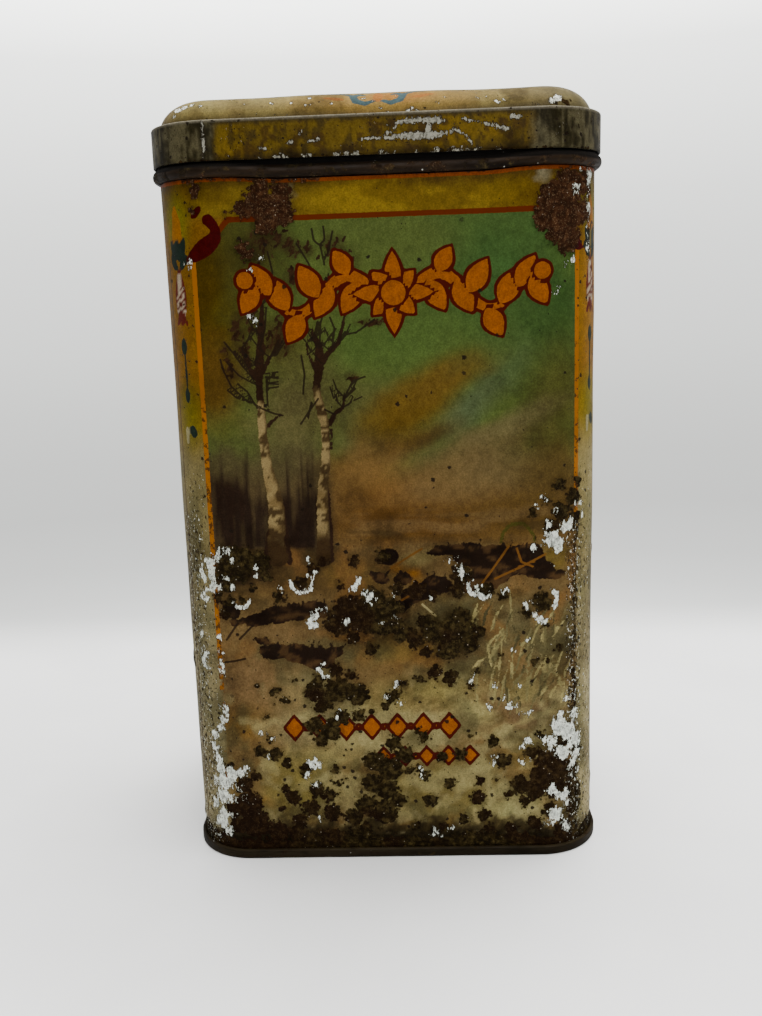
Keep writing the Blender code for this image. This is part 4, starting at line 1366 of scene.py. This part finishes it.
def top_dent(u):
    """How far the tin's top edge sags in the middle of the front, from 0 to 1."""
    front = np.abs(u) < FRONT + CORNER
    return np.where(front, smooth(41, 24, np.abs(u - 1.5)), 0.0)


def wall_dents(u, z):
    """Slow waves and shallow dents of the wall, in mm outwards."""
    calm = smooth(3, 14, z) * smooth(189, 184, z)
    waves = 0.5 * (fractal(u, z, 34, 71, 2) - 0.5)
    hollow = -0.35 * smooth(30, 5, np.hypot((u + 4) * 0.7, (z - 70) * 0.8))
    return calm * (waves + hollow)


def make_body():
    """The printed wall, with its dents and rust crusts, and the groove and layers of its lock seam."""
    foot, overlap = 0.55, 0.15
    groove = HALF_ROUND - LOCK_HALF
    us = np.sort(np.concatenate([
        columns(0.5, 0.85, 2.0), groove + np.array([-0.40, -0.32, -0.28, -0.02, 0.02, 0.1]),
        -groove + np.array([-0.05, 0.05]),
    ]))
    outer = densify([(0.0, 2.6), (0.0, WALL_TOP)], 0.72)
    heights = (
        WALL_TOP, LOCK_TOP + overlap, LOCK_TOP - overlap, LOCK_BOTTOM + overlap, LOCK_BOTTOM - overlap, foot,
    )
    inner = densify([(-SHEET, height) for height in heights], 14.0)
    sweep = Sweep("printed_body", np.vstack([[(0.0, foot)], outer, inner]), us)
    u, z = sweep.u, sweep.z
    outside = sweep.s == 0.0
    fields = paint_body(u, z)
    rust = fields["wear"][:, 0]
    crust = 0.18 * smooth(-0.2, 1.2, rust) * (0.3 + 1.3 * fractal(u, z, 1.7, 72, 3))
    crust *= smooth(6, 9, z) * smooth(188.9, 187.5, z)
    cut = outside & (u > groove - 0.3) & (u < groove) & (z > LOCK_BOTTOM)
    layers = ~outside & (np.abs(u) > groove) & (z > LOCK_BOTTOM) & (z < LOCK_TOP)
    sweep.push = wall_dents(u, z) + crust * outside - SHEET / 2 * cut - 2 * LAYER * layers
    sweep.lift = -0.9 * top_dent(u) * smooth(176, 189, z)

    look = print_look("printed_tinplate_look")
    inside = metal_look("inner_wall_look", (0.34, 0.30, 0.22), (0.16, 0.12, 0.07), 0.42, 0.75, -0.04)
    outer_rows = len(outer) + 1
    inner_share = np.linspace(0.9, 1.0, sweep.rows - outer_rows + 2)[1:]
    share = np.concatenate([np.linspace(0, 0.9, outer_rows), inner_share])
    piece = sweep.build("can", "body_wall", "printed_tinplate", [look, inside],
                        lambda row: 0 if row < outer_rows else 1, share)
    store_print(piece, fields)


def make_neck():
    """The insert, the stop bead, crushed in the middle of the front, and the neck."""
    insert = -SHEET / 2 - LAYER
    radius = BEAD_RADIUS - SHEET / 2
    start = -math.degrees(math.acos((insert - BEAD_CENTRE_S) / radius))
    end = math.degrees(math.acos((NECK_S - BEAD_CENTRE_S) / radius))
    path = (
        [(insert, INSERT_BOTTOM), (insert, 184.0)]
        + arc((BEAD_CENTRE_S, BEAD_HEIGHT), radius, start, end, 26)
        + [(NECK_S, 196.0), (NECK_S, NECK_TOP)]
    )
    sweep = Sweep("stop_bead", densify(sheet_outline(path), 3.0), columns(0.7, 0.6, 1.2))
    u, z = sweep.u, sweep.z
    level = np.zeros(u.shape)
    dent = top_dent(u)
    bead = smooth(188.6, 189.6, z) * smooth(194.6, 192.2, z)
    ripple = 0.12 * (fractal(u, level, 7, 91) - 0.5) + 0.06 * (fractal(u, level, 2.2, 92) - 0.5)
    sweep.lift = bead * (-0.95 * dent * smooth(-1.2, 0.4, sweep.s) + ripple)
    sweep.push = bead * smooth(-0.2, 0.6, sweep.s) * (-0.75 * dent + ripple)
    sweep.push += wall_dents(u, z) * (z < 188)
    # The black band from 191 to 195.4 mm is painted shade in the gap between the bead and the lid's skirt.
    look = metal_look("neck_look", (0.027, 0.0145, 0.006), (0.0070, 0.0036, 0.0012), 0.42, 0.0, 0.10,
                      streak=(6.0, 6.0, 1.0), soot_and_shade=(191.0, 195.4), gloss=0.15)
    sweep.build("can", "neck_ring", "bare_tinplate", [look])


def make_bottom():
    """The pan: its hook round the body's edge, the folded seam, the fillet and the stepped floor."""
    wall = -SHEET / 2
    seam_top, height, fillet, fold, rise = 2.75, 3.4, 0.8, 0.35, 0.6
    hook, outside, inside = wall + LAYER, wall + 3 * LAYER, wall - LAYER
    turn = seam_top - SHEET / 2 - LAYER
    flat = SHEET / 2
    step = inside - 9.0
    path = (
        [(hook, SHEET + LAYER + fold)]
        + arc((hook + LAYER, turn), LAYER, 180, 0, 10)
        + arc((outside - fold, flat + fold), fold, 0, -90, 5)
        + arc((inside + fold, flat + fold), fold, -90, -180, 5)
        + arc((inside - fillet, height - fillet), fillet, 0, 90, 5)
        + [(step, height), (step - 2 * rise, height + rise)]
    )
    outline = sheet_outline(path)
    left, right = densify(outline[:len(path)], 4.0), densify(outline[len(path):], 4.0)
    rings = [0.85, 0.7, 0.55, 0.4, 0.25, 0.12]
    sweep = capped_sweep("bottom_seam", right, left, columns(1.4, 1.0, 1.6), rings, rings)
    rim = smooth(-1.0, 0.4, sweep.s) * smooth(0.5, 1.2, sweep.z)
    sweep.push = rim * 0.12 * (fractal(sweep.u, np.zeros(sweep.u.shape), 5, 93) - 0.5)
    look = metal_look("bottom_look", (0.020, 0.014, 0.006), (0.006, 0.004, 0.0015), 0.45, 0.0, 0.0,
                      streak=(5.0, 5.0, 1.0), gloss=0.1)
    sweep.build("can", "bottom_pan", "bare_tinplate", [look])


# Bare scratches and flakes of the lid's band: strokes (u, z, half width).
BAND_SCRATCHES = (
    ((4, 199.8, 0.2), (9, 200.8, 0.75), (17, 200.6, 0.9), (18.5, 200.4, 0.3)),
    ((-3, 196.8, 0.3), (4, 197.0, 0.5), (10, 197.2, 1.0), (15, 197.0, 0.9), (20, 197.6, 0.3)),
    ((13, 197, 0.5), (14, 199, 0.8)),
    ((4, 198, 0.5), (6, 199.6, 0.35)),
    ((22.6, 200.6, 0.4), (28, 199.4, 0.35), (32.6, 198.0, 0.7), (34, 198.0, 0.4)),
    ((20.6, 198.4, 0.45), (23.4, 196.6, 0.3), (24.6, 194.8, 0.3)),
    ((35, 200.8, 0.7), (37, 200.6, 0.4)),
    ((-22, 196.4, 0.2), (-20.4, 196.8, 0.45)),
    ((-16, 196.8, 0.3), (-13.6, 197.2, 0.5)),
    ((-18.2, 198.8, 0.3), (-17.6, 199.4, 0.3)),
    ((-28.4, 195.6, 0.4), (-26, 195.2, 0.3)),
)


def paint_band(u, z):
    """The band's olive gold, grimy at the hem, painted shade and highlight at the ridge, grey metal at worn
    corners.
    """
    canvas = Canvas(u, z, BAND_GOLD)
    grimy_hem = smooth(2.6, 0.2, z - BAND_BOTTOM + 2.4 * (fractal(u, z, 6, 119) - 0.5))
    canvas.wash((0.080, 0.050, 0.006), 0.8 * smooth(0.40, 0.66, fractal(u, z, 6, 101)))
    canvas.wash((0.145, 0.085, 0.004), 0.7 * smooth(0.5, 0.7, fractal(u, z, 9, 102)) * smooth(-46, -30, u))
    canvas.wash((0.030, 0.020, 0.006), 0.7 * smooth(0.56, 0.70, fractal(u * 1.6, z * 0.8, 3, 109)))
    canvas.wash((0.042, 0.022, 0.005), 0.75 * smooth(0.54, 0.64, fractal(u, z, 1.8, 121)))
    # Painted shade: a dark line under the crest of the rolled ridge.
    canvas.wash((0.030, 0.022, 0.008), 0.85 * smooth(2.0, 0.6, RIDGE_TOP - z))
    canvas.wash((0.018, 0.012, 0.004), 0.75 * grimy_hem)
    corner = np.minimum(np.abs(np.abs(u) - FRONT - CORNER / 2), np.abs(np.abs(u) - REAR))
    worn = smooth(16.5, 13.5, corner + 4 * (fractal(u, z * 0.5, 3.5, 103) - 0.5))[:, None]
    streaks = smooth(0.42, 0.66, 0.5 * fractal(u * 5.0, z * 0.8, 4, 104) + 0.5 * fractal(u, z, 3, 120))
    grey = np.array((0.018, 0.0145, 0.006)) + np.array((0.062, 0.054, 0.028)) * streaks[:, None]
    canvas.rgb = canvas.rgb * (1 - worn) + grey * worn
    # Painted highlight: a pale line along the crest of the ridge.
    canvas.wash((0.125, 0.110, 0.075), smooth(0.9, 0.3, RIDGE_TOP - z))
    return canvas.rgb


def band_wear(u, z, s):
    """Rust, bare tin and flecks of the lid's band."""
    bare = np.full(u.shape, -9.0)
    for points in BAND_SCRATCHES:
        bare = np.maximum(bare, -stroke(u, z, points) - 0.15)
    tear = np.abs(u + 42.6 + 0.8 * (fractal(u, z, 2, 110) - 0.5))
    bare = np.maximum(bare, 0.50 - tear - 0.10 * np.abs(z - 197.5))
    chips = smooth(1.5, 0.2, z - BAND_BOTTOM) * smooth(0.44, 0.62, fractal(u, z, 2.2, 105))
    chips *= smooth(-32, -26, u) * smooth(40, 20, u)
    bare = np.maximum(bare, np.where(chips > 0.1, 0.5 * chips - 0.35, -9.0))
    rust = 0.6 - smooth(0, 1.2, z - BAND_BOTTOM) - 1.4 * fractal(u, z, 4, 106)
    rust = np.where(s > 1.2, rust, rust - 0.6)
    return rust, bare, 0.40 + 0.36 * smooth(0.42, 0.66, fractal(u, z, 5, 107))


def make_lid_band():
    """The lid's skirt, from the end of its hem round the fold and up to the rolled ridge."""
    hem = BAND_S - LAYER / 2
    path = (
        [(BAND_S - LAYER, BAND_BOTTOM + HEM_HEIGHT)]
        + arc((hem, BAND_BOTTOM + SHEET / 2 + LAYER / 2), LAYER / 2, 180, 360, 8)
        + arc((BAND_S - LAYER, RIDGE_TOP - SHEET / 2 - LAYER), LAYER, 0, 180, 10)
        + [(BAND_S - 2 * LAYER, RIDGE_TOP - RIDGE_LIP)]
    )
    sweep = Sweep("lid_skirt", densify(sheet_outline(path), 0.45, closed=True), columns(0.45, 0.5, 1.2))
    u, z = sweep.u, sweep.z
    level = np.zeros(u.shape)
    sweep.push = 0.16 * (fractal(u, z * 0.4, 9, 94) - 0.5)
    sweep.lift = 0.18 * (fractal(u, level, 24, 95) - 0.5) * smooth(RIDGE_TOP, BAND_BOTTOM, z)
    look = print_look("gilt_tinplate_look", 0.36, (0.30, 0.29, 0.23), 0.75, 0.42)
    piece = sweep.build("lid", "lid_band", "gilt_tinplate", [look])
    grime = 0.7 * smooth(0.46, 0.7, fractal(u, z, 7, 108)) * smooth(200.5, 196, z + 2 * fractal(u, z, 3, 100))
    store_print(piece, {
        "paint": opaque(paint_band(u, z)),
        "wear": np.column_stack(band_wear(u, z, sweep.s)),
        "tone": np.column_stack([grime, level + 0.3, level + 0.9]),
    })


# Bare flakes of the lid's front slope: (x, distance up the slope, radius).
LID_FLAKES = (
    (-50, 6.6, 1.1), (-48, 7.4, 0.9), (-46, 8.2, 0.6), (-51, 4, 0.5), (46.5, 4.6, 1.2), (45, 3.6, 0.8),
    (10, 3.0, 0.6), (9, 2.2, 0.5), (31, 4.4, 0.4), (33, 4.2, 0.35),
)


def paint_lid(x, along, over, front):
    """Cream with yellowed clouds, browner at the foot of the slope, with a worn glow on the front slope."""
    canvas = Canvas(*over, LID_CREAM)
    canvas.wash((0.126, 0.090, 0.028), 0.8 * smooth(0.4, 0.65, fractal(*over, 11, 112)))
    canvas.wash((0.088, 0.062, 0.020), 0.6 * smooth(0.5, 0.7, fractal(*over, 5, 113)))
    canvas.wash((0.058, 0.041, 0.015), 0.85 * smooth(4.2, 0.4, along))
    canvas.wash((0.080, 0.066, 0.032), 0.7 * smooth(28, 50, x) * front)
    plain = canvas.rgb
    canvas.u, canvas.z = x, along
    canvas.glow((0.215, 0.125, 0.024), (2, 7), (22, 6), 0.8)
    canvas.glow((0.215, 0.085, 0.010), (7, 8.5), (8, 3), 0.8)
    return np.where(front[:, None], canvas.rgb, plain)


def draw_lid_ornament(x, y, along, slope, front):
    """A pair of curls with leaves on the front slope, and a worn wreath on the flat top."""
    teal, orange = (0.034, 0.060, 0.062), (0.22, 0.080, 0.010)
    ink = Ink(x - 1.5, along)
    u, z = ink.u, ink.z
    curl = (
        (1.0, 6.4, 0.5), (3.2, 5.2, 0.8), (5.6, 6.4, 1.0), (6.4, 8.6, 0.9), (5.0, 10.2, 0.7), (3.4, 9.4, 0.4),
    )
    tail = ((6.8, 9.6, 0.7), (9.4, 11.4, 0.5), (12, 11.0, 0.2))
    for side in (-1, 1):
        ink.add(stroke(side * u, z, curl), teal)
        ink.add(stroke(side * u, z, tail), teal)
        ink.add(leaf(side * u, z, (8.4, 7.2), (14.5, 8.8), 0.8), orange)
    ink.add(leaf(u, z, (0, 5.6), (0, 11.8), 1.3), orange)
    oval = np.abs(np.hypot(x / 44, y / 26) - 0.82) * 26
    petals = 1.6 + 1.0 * np.cos(np.arctan2(y / 26, x / 44) * 26)
    wreath = np.where(slope, 9.0, np.minimum(oval - 0.55, oval - petals))
    distance = np.where(front & slope, ink.distance, 9.0)
    ink.rgba[wreath < np.maximum(distance, 0), :3] = (0.19, 0.098, 0.020)
    return ink.rgba, np.minimum(distance, wreath)


def lid_wear(x, along, over, front):
    """Rust, bare tin and flecks of the lid's panel."""
    rust = 1.1 - 3.2 * fractal(*over, 6, 114) - 2.0 * smooth(12, 6, along)
    rust = np.maximum(rust, 1.3 - np.hypot(x - 48.5, along - 3.2) * 0.9)
    rust = np.maximum(rust, 0.2 - along + 0.9 * fractal(*over, 3, 115))
    rng = np.random.default_rng(SEED + 11)
    flakes = list(LID_FLAKES)
    for _ in range(34):
        flakes.append((rng.uniform(-52, 54), rng.uniform(0.5, 9), 0.14 + 0.34 * rng.random() ** 2))
    bare = np.maximum(-9.0, np.where(front, spots(x, along, flakes), -9.0))
    return rust, bare, 0.30 + 0.3 * smooth(44, 54, np.abs(x))


def make_lid_panel():
    """The lid's raised top: a flange in the ridge, a ledge, a slope all round and a flat middle."""
    flange = BAND_S - LAYER
    fold, foot, shoulder = 0.35, -0.9, 9.5
    rise = TIN_TOP - SHEET / 2 - LEDGE_HEIGHT
    path = [(flange, RIDGE_TOP - SHEET / 2 - LAYER)]
    path += arc((flange - fold, LEDGE_HEIGHT + fold), fold, 0, -90, 5)
    for step in range(33):
        angle = math.pi / 2 * step / 32
        path.append((foot - shoulder + shoulder * math.cos(angle), LEDGE_HEIGHT + rise * math.sin(angle)))
    outline = sheet_outline(path)
    lower, upper = densify(outline[:len(path)][::-1], 2.5), densify(outline[len(path):][::-1], 0.6)
    few, many = [0.8, 0.6, 0.4, 0.2, 0.05], list(np.linspace(0.97, 0.05, 44))
    sweep = capped_sweep("lid_top", lower, upper, columns(0.6, 0.6, 1.2), few, many)
    x, y, z = sweep.places().T
    slope = sweep.scale == 1
    front = y < 0
    over = (x + 90, y + 90)
    sag = smooth(0.3, 0.8, fractal(*over, 30, 111, 2))
    sweep.lift = -0.5 * smooth(LEDGE_HEIGHT + 2, TIN_TOP, z) * sag
    up_slope = shoulder * np.arcsin(np.clip((z - LEDGE_HEIGHT) / rise, 0, 1))
    along = np.where(slope, up_slope, 30.0)

    look = print_look("printed_lid_look", 0.36, (0.66, 0.66, 0.56), 0.75, 0.45)
    inside = metal_look("lid_inner_look", (0.42, 0.38, 0.28), (0.20, 0.16, 0.09), 0.35, 0.8, -0.05)
    first_upper = len(few) + len(lower)
    piece = sweep.build("lid", "lid_panel", "printed_lid_tinplate", [look, inside],
                        lambda row: 1 if row < first_upper - 1 else 0)
    ornament, distance = draw_lid_ornament(x, y, along, slope, front)
    nowhere = np.full(len(x), FAR)
    grime = 0.6 * smooth(0.5, 0.7, fractal(*over, 9, 116)) + 0.5 * smooth(2.4, 0.3, along)
    store_print(piece, {
        "paint": opaque(paint_lid(x, along, over, front)),
        "emblem_ink": ornament,
        "marks": np.column_stack([nowhere, distance, nowhere]),
        "wear": np.column_stack(lid_wear(x, along, over, front)),
        "tone": np.column_stack([grime, np.full(len(x), 0.3), np.full(len(x), 0.2)]),
    })


# ---------------------------------------------------------------- studio and camera


def floor_look():
    """Pale matt paper that fades out behind the tin, where the backdrop takes over."""
    g = Look("pale_floor_look")
    cloud = g.step(g.noise(60.0, 2.0, 0.5, seed=31), 0.3, 0.7, 0.97, 1.03)
    g.set("Base Color", g.tint((0.80, 0.80, 0.785), cloud))
    g.set("Roughness", 0.55)
    x, y, _ = g.parts(g.mm)
    radius = g.math("SQRT", g.plus(g.times(x, x), g.times(y, y)))
    g.set("Alpha", g.times(g.step(y, 205.0, 132.0), g.step(radius, 520.0, 330.0)))
    return g.material


def make_floor():
    half = 0.6
    corners = [(-half, -half, 0), (half, -half, 0), (half, half, 0), (-half, half, 0)]
    mesh = bpy.data.meshes.new("studio_floor")
    mesh.from_pydata(corners, [], [(0, 1, 2, 3)])
    mesh.materials.append(floor_look())
    floor = bpy.data.objects.new("studio_floor", mesh)
    bpy.context.scene.collection.objects.link(floor)
    floor.visible_glossy = False


# Backdrop brightness by the sine of the view's elevation.
BACKDROP = (
    (-0.42, 2.9), (-0.345, 3.0), (-0.305, 1.85), (-0.264, 1.36), (-0.235, 1.17), (-0.186, 1.03),
    (-0.137, 1.08), (-0.088, 1.2), (-0.038, 1.37), (0.01, 1.5), (0.057, 1.64), (0.103, 1.85), (0.148, 2.2),
    (0.19, 2.6), (0.224, 3.0), (0.27, 4.6),
)
BACKDROP_PEAK = 5.0


def make_world():
    """The backdrop that the camera sees, and for the tin a soft surround that is brighter behind."""
    world = bpy.data.worlds.new("studio")
    bpy.context.scene.world = world
    g = Graph(world)
    _, deep, height = g.parts(g.node("TexCoord", {}).outputs["Generated"])
    low, high = BACKDROP[0][0], BACKDROP[-1][0]
    place = g.node("MapRange", {"Value": height, "From Min": low, "From Max": high}).outputs[0]
    ramp = g.node("ValToRGB", {"Fac": place})
    stops = ramp.color_ramp.elements
    for height, _ in BACKDROP[1:-1]:
        stops.new((height - low) / (high - low))
    for stop, (_, level) in zip(stops, BACKDROP):
        grey = level / BACKDROP_PEAK
        stop.color = (grey * 0.995, grey * 1.01, grey * 0.98, 1)
    shown = g.scaled(ramp.outputs["Color"], BACKDROP_PEAK)
    surround = g.step(deep, -0.75, 0.35, 0.02, 0.8)
    seen = g.node("LightPath", {}).outputs["Is Camera Ray"]
    g.put(g.tree.nodes["Background"].inputs["Color"], g.mix(seen, surround, shown))


def add_softbox(name, place, target, size, power, mirrored):
    """A round area light. mirrored says whether glossy surfaces reflect it."""
    light = bpy.data.lights.new(name, "AREA")
    light.shape = "DISK"
    light.size = size
    light.energy = power
    lamp = bpy.data.objects.new(name, light)
    lamp.visible_glossy = mirrored
    lamp.location = place
    lamp.rotation_euler = (Vector(target) - Vector(place)).to_track_quat("-Z", "Y").to_euler()
    bpy.context.scene.collection.objects.link(lamp)


def make_lights():
    add_softbox("overhead", (0.10, 0.11, 0.95), (0, 0, 0), 0.85, 31.0, False)
    add_softbox("front_fill", (0.15, -0.95, 0.75), (0, 0, 0.08), 0.7, 7.0, True)


def make_camera():
    """The photograph's angle: slightly from the right, looking down a little, and rolled a little."""
    yaw, pitch, roll = -0.0390, 0.1951, -0.0337
    view = Vector((math.sin(yaw) * math.cos(pitch), math.cos(yaw) * math.cos(pitch), -math.sin(pitch)))
    level = Vector((math.cos(yaw), -math.sin(yaw), 0))
    upright = level.cross(view)
    right = math.cos(roll) * level + math.sin(roll) * upright
    up = -math.sin(roll) * level + math.cos(roll) * upright
    data = bpy.data.cameras.new("camera")
    data.sensor_width = 36.0
    data.lens = 35.44
    data.clip_start = 0.01
    camera = bpy.data.objects.new("camera", data)
    turn = Matrix((right, up, -view)).transposed()
    camera.matrix_world = Matrix.Translation((0.00927, -0.30441, 0.15467)) @ turn.to_4x4()
    bpy.context.scene.collection.objects.link(camera)
    bpy.context.scene.camera = camera


make_body()
make_neck()
make_bottom()
make_lid_band()
make_lid_panel()
make_floor()
make_world()
make_lights()
make_camera()
